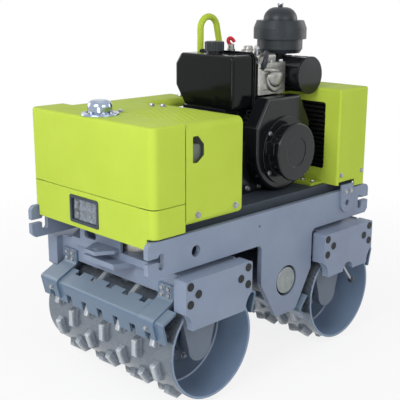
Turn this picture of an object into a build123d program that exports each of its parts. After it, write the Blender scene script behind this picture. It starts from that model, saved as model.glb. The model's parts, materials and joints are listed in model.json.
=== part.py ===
from build123d import *
from math import sin, cos, tan, radians, sqrt
import os

os.makedirs("parts", exist_ok=True)

# Frame: +X forward, +Y the machine's left, +Z up, ground at z 0, millimetres

# Drums
front_axle_x = 316
axle_spacing = 667
drum_r = 175
drum_wall = 8
drum_half = 317
pad_height = 20
pad_rows = 7
pad_row_pitch = 82
pads_per_row = 10
pad_base_length = 70
pad_base_width = 28
pad_tip_length = 52
pad_tip_width = 15
pad_root = 5
pad_clearance = 8
web_inset = 140
web_t = 12
hub_r = 58
hub_length = 66
hub_out = 30
hub_flange_r = 96
hub_flange_t = 8
axle_r = 32
axle_fit = 0.05
axle_shoulder = 16
axle_gap = 12

# Yokes, one weldment at each end
yoke_gap = 30
shoulder_t = 18
slew_plate_t = 24
slew_plate_half_x = 150
slew_plate_half_y = 200
slew_plate_nose = 70
slew_plate_clear = 12
slew_ring_r = 135
slew_ring_bore = 88
slew_ring_h = 26.5
slew_gap = 1.0
fixed_ring_h = 27.5
king_pin_r = 45
king_pin_fit = 0.05
king_flange_r = 62
king_flange_t = 10
cross_plate_x = 120
cross_plate_t = 15
cross_plate_drop = 74
yoke_rib_y = (-230, -115, 115, 230)
yoke_rib_t = 12
yoke_rib_clear = 3
tow_plate_t = 12
tow_plate_half = 55
tow_plate_tip_half = 24
tow_reach = 90
tow_hole_r = 9
tow_hole_inset = 15
apron_reach = 75
apron_half = 75
apron_root_half = 100
lug_plate_t = 10
lug_plate_h = 50
lug_plate_y = (-150, 60)
lug_plate_overhang = 2
lug_slot_y = -95
lug_slot_length = 62
lug_slot_r = 12

# Weights, plugs, arms and the lock lever
weight_half = 145
weight_t = 52
weight_out = 32
weight_h = 159
weight_round = 8
rim_gap = 6
weight_notch_r = 58
weight_notch_out = 30
weight_notch_rise = 6
plug_r = 13
plug_depth = 12
plug_proud = 1.5
plug_fit = 0.1
plug_spots = ((19, 18), (19, 74), (52, 48))
arm_inset = 55
arm_t = 20
arm_half = 80
arm_rise = 23
arm_drop = 20
arm_end_r = 50
spacer_half = 72
spacer_h = 43
spacer_clear = 9
lever_notch_r = 30
lever_r = 4
lever_length = 98
lever_lean = 39
lever_inset = 13
knob_r = 11

# Scrapers, points as distance from the drum shell and degrees above the axle
scraper_t = 8
scraper_bend_r = 18
outer_low = (29, 13.6)
outer_bend = (76, 30.3)
knee_drop = 7
tab_drop = 36
bracket_weight_gap = 19
bar_lap = 20
bar_top_x = 140
bracket_w = 70
bracket_short = 16
guard_inset = 5
guard_clear = 6
guard_short = 6
inner_low = (19.2, -18.6)
inner_bend = (58, -3.5)
inner_top = (18.4, 10.7)
inner_inset = 5
inner_bend_r = 12
hanger_y = 150
hanger_t = 24
hanger_gap = 3
hanger_w = 32
notch_side = 6
notch_h = 36
top_notch_depth = 18

# Side plates
plate_t = 18
plate_half = 302
plate_gap = 18
plate_h = 109
hook_front = 565
hook_rear = -526
hook_corner = 20
hook_chamfer = 14
hook_slot_h = 14
hook_slot_length = 40
hook_slot_rise = 48
hook_eye_w = 23
hook_eye_h = 50
hook_eye_r = 11
hook_eye_drop = 8
skirt_front_clear = 98
skirt_rear_clear = 14
skirt_bend = 139
skirt_drop = 275
skirt_half_bottom = 52
skirt_root_r = 20
skirt_round = 14
port_drop = 156
port_r = 54
tie_hole_x = 374
tie_hole_r = 18
tie_hole_rise = 49
bracket_x = -384
bracket_half = 35
bracket_t = 8
bracket_hole_r = 11
bracket_rise = 62
pilot_hole_x = 86
pilot_hole_r = 4
pilot_hole_rise = 66
cover_r = 47
cover_t = 16
cover_round = 4
housing_r = 66
housing_flange_r = 84
housing_flange_t = 14

# Cross frames, mounts and deck
cross_t = 20
cross_half = 165
mount_r = 28
mount_h = 34
mount_waist_r = 13
mount_edge = 55
mount_inset = 60
deck_t = 15
deck_gap = 29
deck_front_inset = 41
deck_rear = -488
deck_lip_h = 46
deck_lip_t = 12

# Hood, lamp and filler cap
skin = 4
hood_front = 541
hood_depth = 125
hood_inset = 2
hood_drop = 50
lower_h = 120
seam_gap = 3
upper_h = 234
corner_r = 24
top_round = 8
notch_in = 13
notch_clear = 5
seam_strip_h = 30
seam_strip_inset = 40
hood_lip_w = 70
lamp_y = -24
lamp_w = 146
lamp_h = 90
lamp_drop = 16
lamp_round = 8
lamp_rim = 9
lamp_depth = 30
lamp_fit = 1
lamp_proud = 2
lamp_flange_w = 8
lamp_floor = 8
cap_inset = 61
cap_y = -8
cap_flange_r = 52
cap_flange_t = 6
cap_neck_r = 31
cap_neck_h = 10
cap_r = 38
cap_h = 29
cap_round = 20

# Side panels and hydraulic tank
panel_gap = 4
panel_length = 239
panel_bend_r = 22
panel_return = 18
left_panel_h = 303
right_panel_h = 300
panel_split_y = -50
panel_split_gap = 6
right_flange_h = 30
wing_length = 233
wing_w = 140
slot_inset = 27
slot_w = 48
slot_rise = 187
slot_h = 79
slot_clip_w = 26
slot_clip_low = 19
slot_clip_high = 28
slot_round = 5
tank_clear = 10
tank_inset = 33
tank_h = 250
tank_round = 12

# Rear box and oil cooler
box_front = -332
box_length = 166
box_h = 342
box_sill = 11
box_drop = 16
box_drop_length = 63
box_round = 8
opening_right_inset = 150
opening_left_inset = 65
opening_sill = 54
opening_top_inset = 50
opening_r = 10
cooler_t = 38
cooler_lap = 10
cooler_rows = 15
cooler_tube_h = 8
cooler_groove = 12
foot_length = 70
foot_y = (150, 235)
foot_t = 8

# Engine
crank_x = -145
crank_rise = 143
case_front = 155
case_rear = 125
case_back_y = -135
case_front_y = 150
case_h = 206
case_chamfer = 42
foot_rail_h = 14
foot_rail_out = 18
foot_rail_half = 118
pump_r = 36
pump_length = 78
pump_port_r = 13
barrel_front = 80
barrel_rear = 90
barrel_half = 104
barrel_h = 125
barrel_round = 24
fin_count = 8
fin_t = 5
fin_out = 14
head_front = 73
head_rear = 70
head_y = (-90, 148)
head_h = 105
head_round = 10
head_grooves = (14, 88)
head_groove_h = 4
head_groove_depth = 3
head_pad_x = -5
head_pad_rise = 46
head_pad_r = 40
head_pad_t = 8
head_pad_round = 6
rocker_h = 28
rocker_inset = 24
rocker_round = 10
shroud_r = 141
shroud_t = 55
shroud_round = 10
neck_front = 83
neck_rear = 81
neck_h = 183
neck_hip = 88
recoil_base_r = 117
recoil_base_t = 8
recoil_drum_r = 90
recoil_drum_t = 38
recoil_disc_r = 99
recoil_disc_t = 11
recoil_round = 5
recoil_ring_r = 51
recoil_ring_depth = 3
louvre_count = 18
louvre_w = 9
louvre_depth = 9
louvre_margin = 6
rope_block = (30, 34, 40)

# Fuel tank
fuel_front = 197
fuel_y = (-133, 141)
fuel_depth = 102
fuel_rise = 289
fuel_h = 178
fuel_back = 8
fuel_clip_low = (46, 66)
fuel_clip_high = (27, 36)
fuel_corner = 14
fuel_round = 12
fuel_flange_out = 8
fuel_flange_t = 4
fuel_flange_gap = 4
tank_bracket_t = 12
tank_bracket_half = 100
tank_bracket_inset = 8
tank_bracket_lap = 26
fuel_neck_r = 27
fuel_neck_h = 8
fuel_cap_r = 33.5
fuel_cap_h = 32
fuel_cap_groove_r = 2.5
fuel_cap_back = 60
fuel_cap_ribs = 20

# Muffler and air cleaner, both behind the head
muffler_back = 69
muffler_rise = 245
muffler_r = 61
muffler_y = (95, 200)
muffler_rim = 4
muffler_rim_t = 6
pipe_r = 18
pipe_y = 122
shield_gap = 5
shield_t = 2
shield_half_angle = 62
cleaner_y = 57
cleaner_rise = 316
bowl_r = 81
bowl_h = 49
bowl_foot_r = 72
bowl_foot_h = 14
rim_r = 94
rim_h = 38
crown_r = 84
crown_h = 26
dome_r = 60
dome_h = 45
dome_round = 43
nut_r = 7
nut_h = 10
elbow_r = 25
elbow_drop = 48

# Lifting loop
loop_y = -152
loop_front = 53
loop_arch_r = 42
loop_lean = 13
loop_r = 11.5
loop_rise = 594
loop_foot_r = 17
loop_foot_t = 10

# Levels and stations worked out from the sizes
pad_tip_r = drum_r + pad_height
axle_z = pad_tip_r
sweep_r = pad_tip_r + pad_clearance
rear_axle_x = front_axle_x - axle_spacing
shoulder_low = axle_z + sweep_r + yoke_gap
shoulder_top = shoulder_low + shoulder_t
cross_plate_low = shoulder_top - cross_plate_drop
slew_low = shoulder_top + slew_plate_t
slew_top = slew_low + slew_ring_h
cross_low = slew_top + slew_gap + fixed_ring_h
cross_top = cross_low + cross_t
deck_low = cross_top + mount_h
deck_top = deck_low + deck_t
plate_low = shoulder_top + plate_gap
plate_top = plate_low + plate_h
plate_inner = plate_half - plate_t
deck_half = plate_inner - deck_gap
mount_y = deck_half - mount_edge
hood_half = plate_half - hood_inset
notch_half = plate_inner - notch_in
opening_y = (opening_right_inset - hood_half, hood_half - opening_left_inset)
opening_rise = (opening_sill, box_h - opening_top_inset)
weight_face = drum_half + weight_out
weight_back = weight_face - weight_t
bar_half = weight_back - bracket_weight_gap - bracket_w
weight_low = shoulder_top - weight_h
rim_y = drum_half + rim_gap
arm_face = drum_half - arm_inset
arm_back = arm_face - arm_t
web_face = drum_half - web_inset
hub_face = web_face + hub_out
skirt_front_x = front_axle_x - weight_half - skirt_front_clear
skirt_rear_x = rear_axle_x + weight_half + skirt_rear_clear
port_x = (skirt_front_x + skirt_rear_x) / 2
port_z = plate_low - port_drop
tie_hole_z = plate_low + tie_hole_rise
bracket_z = plate_low + bracket_rise
hood_rear = hood_front - hood_depth
hood_low = deck_top - hood_drop
hood_seam = hood_low + lower_h
hood_base = hood_seam + seam_gap
hood_top = hood_base + upper_h
panel_front = hood_rear - panel_gap
panel_rear = panel_front - panel_length
deck_front = hood_front - deck_front_inset
box_rear = box_front - box_length
crank_z = deck_top + crank_rise
case_top = deck_top + case_h
barrel_top = case_top + barrel_h
head_top = barrel_top + head_h
head_back = crank_x - head_rear
stack_x = head_back - muffler_back
muffler_z = crank_z + muffler_rise
bowl_low = crank_z + cleaner_rise


def block(x0, x1, y0, y1, z0, z1):
    return Pos((x0 + x1) / 2, (y0 + y1) / 2, (z0 + z1) / 2) * Box(x1 - x0, y1 - y0, z1 - z0)


def rod_x(y, z, r, x0, x1):
    return Pos((x0 + x1) / 2, y, z) * Rot(0, 90, 0) * Cylinder(r, x1 - x0)


def rod_y(x, z, r, y0, y1):
    return Pos(x, (y0 + y1) / 2, z) * Rot(90, 0, 0) * Cylinder(r, y1 - y0)


def rod_z(x, y, r, z0, z1):
    return Pos(x, y, (z0 + z1) / 2) * Cylinder(r, z1 - z0)


# Faces drawn flat, then given their thickness along X, Y or Z
def along(face, x0, x1):
    return extrude(Plane.YZ.offset(x0) * face, amount=x1 - x0)


def across(face, y0, y1):
    return extrude(Plane.XZ.offset(-y1) * face, amount=y1 - y0)


def upward(face, z0, z1):
    return extrude(Pos(0, 0, z0) * face, amount=z1 - z0)


def outline(*points):
    return make_face(Polyline(*points, close=True))


# A bent sheet: the path is its outer side and the thickness lies to the left
def sheet(path, bend_r, t):
    return make_face(offset(FilletPolyline(*path, radius=bend_r), amount=t, side=Side.LEFT))


def round_at(body, axis, r, *spots):
    for spot in spots:
        body = fillet(body.edges().filter_by(axis).sort_by_distance(spot)[0], r)
    return body


def top_edges(body):
    return body.faces().sort_by(Axis.Z)[-1].edges()


def mirrored(body):
    return mirror(body, about=Plane.XZ)


def save(name, shape):
    shape.label = name
    export_step(shape, "parts/" + name + ".step")


def save_set(name, shapes):
    save(name, Compound(children=list(shapes)))


# Drums with tapered pads in staggered rows
def row_y(row):
    return (row - (pad_rows - 1) / 2) * pad_row_pitch


def drum():
    shell = rod_y(0, 0, drum_r, -drum_half, drum_half)
    shell -= rod_y(0, 0, drum_r - drum_wall, -drum_half - 1, drum_half + 1)
    pieces = []
    for side in (1, -1):
        for r, face, t in (
            (drum_r - drum_wall / 2, web_face, web_t),
            (hub_flange_r, web_face + hub_flange_t, web_t),
            (hub_r, hub_face, hub_length),
        ):
            pieces.append(rod_y(0, 0, r, *sorted((side * (face - t), side * face))))
    base = Pos(0, 0, drum_r - pad_root) * Rectangle(pad_base_length, pad_base_width)
    tip = Pos(0, 0, pad_tip_r) * Rectangle(pad_tip_length, pad_tip_width)
    pad = loft([base, tip], ruled=True)
    step = 360 / pads_per_row
    for row in range(pad_rows):
        for k in range(pads_per_row):
            turn = (k + 0.5 * ((row + 1) % 2)) * step
            pieces.append(Rot(0, turn + step / 2, 0) * Pos(0, row_y(row), 0) * pad)
    return shell.fuse(*pieces) - rod_y(0, 0, axle_r + axle_fit, -drum_half, drum_half)


# Yoke weldment about its own axle; ribs follow the drum
def yoke():
    r = plate_inner - slew_plate_clear
    reach = sqrt(r * r - slew_plate_nose * slew_plate_nose)
    corners = []
    for sx, sy in ((1, 1), (-1, 1), (-1, -1), (1, -1)):
        pair = [(sx * slew_plate_half_x, sy * slew_plate_half_y), (sx * slew_plate_nose, sy * reach)]
        corners += pair if sx * sy > 0 else pair[::-1]
    body = upward(outline(*corners), shoulder_top, slew_low)
    body += block(-cross_plate_x, cross_plate_x, -weight_back, weight_back, shoulder_low, shoulder_top)
    inside = cross_plate_x - cross_plate_t
    for x in (-cross_plate_x, inside):
        body += block(x, x + cross_plate_t, -weight_back, weight_back, cross_plate_low, shoulder_low)
    for y in yoke_rib_y:
        y0 = y - yoke_rib_t / 2
        y1 = y + yoke_rib_t / 2
        rib = block(-inside, inside, y0, y1, cross_plate_low, shoulder_low)
        body += rib - rod_y(0, axle_z, sweep_r + yoke_rib_clear, y0 - 1, y1 + 1)
    return body - rod_z(0, 0, king_pin_r + king_pin_fit, shoulder_low - 1, slew_low + 1)


# Tow plate and slotted lug plate, on the front yoke only
def tow_fittings():
    x0 = slew_ring_r + slew_gap
    x1 = x0 + tow_reach
    plate = upward(outline((x0, -tow_plate_half), (x1 - tow_plate_half, -tow_plate_half), (x1, -tow_plate_tip_half),
                           (x1, tow_plate_tip_half), (x1 - tow_plate_half, tow_plate_half), (x0, tow_plate_half)),
                   slew_low, slew_low + tow_plate_t)
    plate -= rod_z(x1 - tow_hole_inset, 0, tow_hole_r, slew_low - 1, slew_low + tow_plate_t + 1)
    x1 = slew_plate_half_x + lug_plate_overhang
    lug = block(x1 - lug_plate_t, x1, *lug_plate_y, slew_low, slew_low + lug_plate_h)
    slot = Pos(lug_slot_y, slew_low + lug_plate_h / 2) * SlotOverall(lug_slot_length, 2 * lug_slot_r)
    lug -= along(slot, x1 - lug_plate_t - 1, x1 + 1)
    x1 = cross_plate_x + apron_reach
    apron = upward(outline((cross_plate_x, -apron_root_half), (x1, -apron_half), (x1, apron_half),
                           (cross_plate_x, apron_root_half)), shoulder_low, shoulder_top)
    return plate + lug + apron


# Weight on the yoke end, clear of the drum behind and over its rim
def weight():
    body = block(-weight_half, weight_half, weight_back, weight_face, weight_low, shoulder_top)
    body = fillet(body.edges().filter_by(Axis.Y).group_by(Axis.Z)[-1], weight_round)
    for way in (1, -1):
        body -= rod_y(way * (weight_half + weight_notch_out), weight_low + weight_notch_rise, weight_notch_r,
                      weight_back - 1, weight_face + 1)
        for inset, drop in plug_spots:
            body -= rod_y(way * (weight_half - inset), shoulder_top - drop, plug_r + plug_fit,
                          weight_face - plug_depth, weight_face + 1)
    return body - rod_y(0, axle_z, sweep_r, weight_back - 1, rim_y)


def plugs():
    pieces = []
    for way in (1, -1):
        for inset, drop in plug_spots:
            pieces.append(rod_y(way * (weight_half - inset), shoulder_top - drop, plug_r,
                                weight_face - plug_depth, weight_face + plug_proud))
    return pieces


# Arm inside the rim, with the spacer that passes the rim and the stub axle
def arm():
    end_z = axle_z - arm_drop
    body = across(outline((-arm_half, weight_low + arm_rise), (-arm_half, weight_low), (-arm_end_r, end_z),
                          (arm_end_r, end_z), (arm_half, weight_low), (arm_half, weight_low + arm_rise)),
                  arm_back, arm_face)
    body += rod_y(0, end_z, arm_end_r, arm_back, arm_face)
    spacer = block(-spacer_half, spacer_half, arm_face, rim_y, weight_low, weight_low + spacer_h)
    body += spacer & rod_y(0, axle_z, drum_r - drum_wall - spacer_clear, arm_face, rim_y)
    body += rod_y(0, axle_z, axle_r, hub_face - hub_length, arm_back)
    return body + rod_y(0, axle_z, axle_r + axle_shoulder, hub_face + axle_gap, arm_back)


# Scrapers: angle bars notched at every pad row
def beside(gap, angle):
    r = drum_r + gap
    return (r * cos(radians(angle)), r * sin(radians(angle)))


def row_cuts():
    half = pad_base_width / 2 + notch_side
    return [rod_y(0, 0, sweep_r, row_y(row) - half, row_y(row) + half) for row in range(pad_rows)]


def outer_scraper():
    tab_x = cross_plate_x + scraper_t
    knee = cross_plate_low - axle_z - knee_drop
    tab = shoulder_top - axle_z - tab_drop
    path = [beside(*outer_low), beside(*outer_bend), (tab_x, knee), (tab_x, tab)]
    outer_skin = sheet(path, scraper_bend_r, scraper_t)
    both_skins = sheet(path, scraper_bend_r, 2 * scraper_t)
    low = path[0][1]
    far = 2 * sweep_r
    bracket_end = bar_half + bracket_w
    bar_end = bar_half + bar_lap
    guard_end = drum_half - guard_inset
    guard_x = weight_half + guard_clear
    bar = across(both_skins, -bar_end, bar_end) - across(outer_skin, -bar_end, bar_end)
    body = bar & block(bar_top_x, far, -bar_end, bar_end, 0, far)
    for side in (1, -1):
        bracket = across(outer_skin, *sorted((side * bar_half, side * bracket_end)))
        body += bracket & block(0, far, -far, far, low + bracket_short, far)
        span = sorted((side * (bracket_end - bar_lap), side * guard_end))
        guard = across(both_skins, *span) - across(outer_skin, *span)
        body += guard & block(guard_x, far, -far, far, low + guard_short, far)
    half = pad_tip_width / 2 + notch_side
    for row in range(pad_rows):
        span = (row_y(row) - half, row_y(row) + half)
        body -= block(0, far, *span, 0, low + notch_h)
        if abs(row_y(row)) < bar_half - bracket_short:
            body -= block(0, bar_top_x + top_notch_depth, *span, low, far)
    return body


def inner_scraper():
    end = drum_half - inner_inset
    body = across(sheet([beside(*inner_low), beside(*inner_bend), beside(*inner_top)], inner_bend_r, scraper_t),
                  -end, end)
    r = sweep_r + hanger_gap
    far = 2 * sweep_r
    for y in (-hanger_y, hanger_y):
        y0 = y - hanger_t / 2
        y1 = y + hanger_t / 2
        hanger = rod_y(0, 0, r + hanger_w, y0, y1) - rod_y(0, 0, r, y0 - 1, y1 + 1)
        body += hanger & block(cross_plate_x, far, y0, y1, beside(*inner_bend)[1], far)
    return mirror(body - row_cuts(), about=Plane.YZ)


# Both ends take the same pieces, the rear ones turned about
def place(shape, axle_x, turn, lift=0):
    return Pos(axle_x, 0, lift) * Rot(0, 0, turn) * shape


drum_body = drum()
yoke_body = yoke()
weight_body = weight()
plug_bodies = plugs()
arm_body = arm()
scrapers = {
    "front": [outer_scraper(), mirror(outer_scraper(), about=Plane.YZ)],
    "rear": [outer_scraper(), inner_scraper()],
}
ring_body = rod_z(0, 0, slew_ring_r, slew_low, slew_top) - rod_z(0, 0, slew_ring_bore, slew_low - 1, slew_top + 1)
lever_notch = rod_y(0, weight_low, lever_notch_r, rim_y - 1, weight_face + 1)
ends = [
    ("front", front_axle_x, 0),
    ("rear", rear_axle_x, 180),
]
for end, axle_x, turn in ends:
    left, right = weight_body, mirrored(weight_body)
    frame = yoke_body
    if end == "front":
        frame = yoke_body + tow_fittings()
    else:
        right = right - mirrored(lever_notch)
    save(end + "_drum", place(drum_body, axle_x, 0, axle_z))
    save(end + "_yoke", place(frame, axle_x, turn))
    save_set(end + "_weights", [place(w, axle_x, turn) for w in (left, right)])
    save_set(end + "_plugs", [place(p, axle_x, turn) for b in plug_bodies for p in (b, mirrored(b))])
    save_set(end + "_arms", [place(a, axle_x, turn) for a in (arm_body, mirrored(arm_body))])
    save_set(end + "_scrapers", [place(s, axle_x, turn, axle_z) for s in scrapers[end]])
    save(end + "_slew_ring", place(ring_body, axle_x, turn))

# Lock lever hung in the notch of the rear left weight
lever = Pos(0, 0, -lever_length / 2) * Cylinder(lever_r, lever_length) + Pos(0, 0, -lever_length) * Sphere(knob_r)
lever = Pos(rear_axle_x, weight_face - lever_inset, weight_low) * Rot(0, lever_lean, 0) * Pos(0, 0, lever_notch_r) * lever
save("lock_lever", lever - place(mirrored(weight_body) - mirrored(lever_notch), rear_axle_x, 180))


# Side plates with tie-down hooks, a skirt, the exciter port and tie holes
def side_plate():
    span = (plate_inner - 1, plate_half + 1)
    middle = (plate_inner + plate_half) / 2
    body = block(hook_rear, hook_front, plate_inner, plate_half, plate_low, plate_top)
    body = fillet(body.edges().filter_by(Axis.Y).group_by(Axis.Z)[-1], hook_corner)
    body = chamfer(body.edges().filter_by(Axis.Y).group_by(Axis.Z)[0], hook_chamfer)
    bend_z = plate_low - skirt_bend
    low_z = plate_low - skirt_drop
    body += across(outline((skirt_rear_x, plate_low), (skirt_rear_x, bend_z), (port_x - skirt_half_bottom, low_z),
                           (port_x + skirt_half_bottom, low_z), (skirt_front_x, bend_z), (skirt_front_x, plate_low)),
                   plate_inner, plate_half)
    for x in (skirt_rear_x, skirt_front_x):
        body = round_at(body, Axis.Y, skirt_root_r, (x, middle, plate_low))
    for x in (-skirt_half_bottom, skirt_half_bottom):
        body = round_at(body, Axis.Y, skirt_round, (port_x + x, middle, low_z))
    slot_z = plate_low + hook_slot_rise + hook_slot_h / 2
    for tip, way in ((hook_front, -1), (hook_rear, 1)):
        root = tip + way * hook_slot_length
        body -= block(*sorted((tip - way, root + way)), *span, slot_z - hook_slot_h / 2, slot_z + hook_slot_h / 2)
        eye = Pos(root + way * hook_eye_w / 2, slot_z - hook_eye_drop) * RectangleRounded(hook_eye_w, hook_eye_h, hook_eye_r)
        body -= across(eye, *span)
    body -= rod_y(port_x, port_z, port_r, *span)
    body -= rod_y(tie_hole_x, tie_hole_z, tie_hole_r, *span)
    body -= rod_y(pilot_hole_x, plate_low + pilot_hole_rise, pilot_hole_r, *span)
    return body - rod_y(bracket_x, bracket_z, bracket_hole_r, *span)


plate = side_plate()
save("side_plate_left", plate)
save("side_plate_right", mirrored(plate))
strap = block(bracket_x - bracket_half, bracket_x + bracket_half, plate_half, plate_half + bracket_t,
              bracket_z, deck_top)
strap += rod_y(bracket_x, bracket_z, bracket_half, plate_half, plate_half + bracket_t)
strap -= rod_y(bracket_x, bracket_z, bracket_hole_r, plate_half - 1, plate_half + bracket_t + 1)
save_set("rear_brackets", [strap, mirrored(strap)])

# Exciter housing between the plates and its covers in the ports
housing = rod_y(port_x, port_z, housing_r, -plate_inner, plate_inner)
cap_disc = rod_y(port_x, port_z, cover_r, plate_inner, plate_inner + cover_t)
cap_disc = fillet(cap_disc.faces().sort_by(Axis.Y)[-1].edges(), cover_round)
for side in (1, -1):
    y0, y1 = sorted((side * plate_inner, side * (plate_inner - housing_flange_t)))
    housing += rod_y(port_x, port_z, housing_flange_r, y0, y1)
save("exciter_housing", housing)
save_set("exciter_covers", [cap_disc, mirrored(cap_disc)])

# Cross frames with the fixed slew rings and king pins
for name, axle_x, ring_low in (("cross_frame_front", front_axle_x, slew_top + slew_gap),
                               ("cross_frame_rear", rear_axle_x, slew_top)):
    frame = block(axle_x - cross_half, axle_x + cross_half, -plate_inner, plate_inner, cross_low, cross_top)
    ring = rod_z(axle_x, 0, slew_ring_r, ring_low, cross_low)
    frame += ring - rod_z(axle_x, 0, slew_ring_bore, ring_low - 1, cross_low)
    frame += rod_z(axle_x, 0, king_pin_r, shoulder_low - slew_gap, cross_low)
    frame += rod_z(axle_x, 0, king_flange_r, shoulder_low - slew_gap - king_flange_t, shoulder_low - slew_gap)
    save(name, frame)

# Rubber mounts with a waist, and the engine deck with its side lips
mount = rod_z(0, 0, mount_r, cross_top, deck_low)
mount -= Pos(0, 0, (cross_top + deck_low) / 2) * Torus(mount_r + mount_waist_r / 2, mount_waist_r)
mount_x = [axle_x + way * (cross_half - mount_inset) for axle_x in (front_axle_x, rear_axle_x) for way in (1, -1)]
save_set("deck_mounts", [Pos(x, y, 0) * mount for x in mount_x for y in (mount_y, -mount_y)])
deck = block(deck_rear, deck_front, -deck_half, deck_half, deck_low, deck_top)
lip = block(deck_rear, deck_front, deck_half - deck_lip_t, deck_half, deck_top - deck_lip_h, deck_low)
save("engine_deck", deck + lip + mirrored(lip))


# Hood in two hollow covers, drawn twice as deep and cut at the rear edge
def cover(z0, z1, closed):
    middle = Pos(hood_rear, 0, 0)
    outer = middle * upward(RectangleRounded(2 * hood_depth, 2 * hood_half, corner_r), z0, z1)
    hollow = RectangleRounded(2 * (hood_depth - skin), 2 * (hood_half - skin), corner_r - skin)
    if closed:
        outer = fillet(top_edges(outer), top_round)
        inner = middle * upward(hollow, z0 - 1, z1 - skin)
        inner = fillet(top_edges(inner), top_round - skin)
    else:
        inner = middle * upward(hollow, z0 - 1, z1 + 1)
    return (outer - inner) & block(hood_rear, hood_front, -hood_half, hood_half, z0, z1)


save("hood_upper", cover(hood_base, hood_top, True))
lower = cover(hood_low, hood_seam, False)
lamp_z = hood_seam - lamp_drop - lamp_h / 2
lamp_face = Pos(lamp_y, lamp_z) * RectangleRounded(lamp_w, lamp_h, lamp_round)
wall_x = hood_front - skin
wall_y = hood_half - skin
strip_half = hood_half - corner_r - seam_strip_inset
strip_z = (hood_seam - seam_strip_h, hood_base + seam_strip_h)
lower += block(wall_x - skin, wall_x, -strip_half, strip_half, *strip_z)
lower -= along(lamp_face, wall_x - skin - 1, hood_front + 1)
for side in (1, -1):
    lower -= block(hood_rear - 1, hood_front + 1, *sorted((side * notch_half, side * (hood_half + 1))),
                   hood_low - 1, plate_top + notch_clear)
    y0, y1 = sorted((side * (hood_half - hood_lip_w), side * wall_y))
    lower += block(hood_rear, wall_x - corner_r, y0, y1, deck_top, deck_top + skin)
    y0, y1 = sorted((side * wall_y, side * (wall_y - skin)))
    lower += block(hood_rear, wall_x - corner_r, y0, y1, *strip_z)
save("hood_lower", lower)

# Lamp: a moulded bezel clipped behind the front skin, and its lens
bezel_w = lamp_w - 2 * lamp_fit
bezel_h = lamp_h - 2 * lamp_fit
bezel_r = lamp_round - lamp_fit
lens_face = RectangleRounded(bezel_w - 2 * lamp_rim, bezel_h - 2 * lamp_rim, lamp_rim / 2)
lens_back = hood_front - lamp_depth + lamp_floor
centre = Pos(lamp_y, lamp_z)
bezel = along(centre * RectangleRounded(bezel_w, bezel_h, bezel_r), hood_front - lamp_depth, hood_front + lamp_proud)
flange = RectangleRounded(lamp_w + 2 * lamp_flange_w, lamp_h + 2 * lamp_flange_w, lamp_round)
bezel += along(centre * flange, wall_x - skin, wall_x) & block(wall_x - skin, wall_x, -hood_half, hood_half,
                                                                 hood_low, strip_z[0])
bezel -= along(centre * lens_face, lens_back, hood_front + lamp_proud + 1)
save("lamp_bezel", bezel)
save("lamp_lens", along(centre * lens_face, lens_back, hood_front - lamp_proud))

# Filler cap on the hood
cap_x = hood_front - cap_inset
neck_z = hood_top + cap_flange_t
cap_z = neck_z + cap_neck_h
head = fillet(top_edges(rod_z(cap_x, cap_y, cap_r, cap_z, cap_z + cap_h)), cap_round)
neck = rod_z(cap_x, cap_y, cap_neck_r, neck_z, cap_z)
save("filler_cap", rod_z(cap_x, cap_y, cap_flange_r, hood_top, neck_z) + neck + head)


# Side panels: one bent sheet each, with a return flange at the rear edge
def panel(path):
    body = along(sheet(path, panel_bend_r, skin), panel_rear, panel_front)
    return body + along(sheet(path, panel_bend_r, panel_return), panel_rear, panel_rear + skin)


left_top = deck_top + left_panel_h
right_top = deck_top + right_panel_h
foot_in = hood_half - hood_lip_w
split_in = panel_split_gap - panel_split_y
left = panel([(foot_in, deck_top), (hood_half, deck_top), (hood_half, left_top), (panel_split_y, left_top)])
slot_x = panel_front - slot_inset
slot_z = deck_top + slot_rise
slot = outline((slot_x, slot_z), (slot_x, slot_z + slot_h), (slot_x - slot_w + slot_clip_w, slot_z + slot_h),
               (slot_x - slot_w, slot_z + slot_h - slot_clip_high), (slot_x - slot_w, slot_z + slot_clip_low),
               (slot_x - slot_w + slot_clip_w, slot_z))
left -= across(fillet(slot.vertices(), slot_round), hood_half - skin - 1, hood_half + 1)
save("side_panel_left", left)
right_path = [(foot_in, deck_top), (hood_half, deck_top), (hood_half, right_top)]
right = panel(right_path + [(split_in, right_top), (split_in, right_top - right_flange_h)])
wing_in = hood_half - wing_w
wing_path = right_path + [(wing_in, right_top), (wing_in, right_top - right_flange_h)]
right += along(sheet(wing_path, panel_bend_r, skin), panel_rear - wing_length, panel_rear)
save("side_panel_right", mirrored(right))
tank_half = foot_in - tank_clear
tank = block(panel_rear + tank_inset, hood_front - tank_inset, -tank_half, tank_half, deck_top, deck_top + tank_h)
save("hydraulic_tank", fillet(tank.edges().filter_by(Axis.Z) + top_edges(tank), tank_round))


# Rear box: a hollow cover with an opening for the cooler, feet and a lower rear edge
def rear_cover():
    top = deck_top + box_h
    low = deck_top - box_drop
    sill = deck_top + box_sill
    body = block(box_rear, box_front, -hood_half, hood_half, low, top)
    body = fillet(body.edges().filter_by(Axis.Z) + top_edges(body), box_round)
    hollow = block(box_rear + skin, box_front - skin, -wall_y, wall_y, low - 1, top - skin)
    body -= fillet(hollow.edges().filter_by(Axis.Z) + top_edges(hollow), box_round - skin)
    step_x = box_rear + box_drop_length
    body -= block(step_x, box_front - box_round, -hood_half - 1, hood_half + 1, low - 1, sill)
    body -= block(box_front - box_round, box_front + 1, -hood_half - 1, hood_half + 1, low - 1, deck_top)
    window = outline(*[(y, deck_top + z) for y, z in (
        (opening_y[0], opening_rise[0]), (opening_y[1], opening_rise[0]),
        (opening_y[1], opening_rise[1]), (opening_y[0], opening_rise[1]))])
    body -= along(fillet(window.vertices(), opening_r), box_front - skin - 1, box_front + 1)
    return body + block(box_front, box_front + foot_length, *foot_y, deck_top, deck_top + foot_t)


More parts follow.
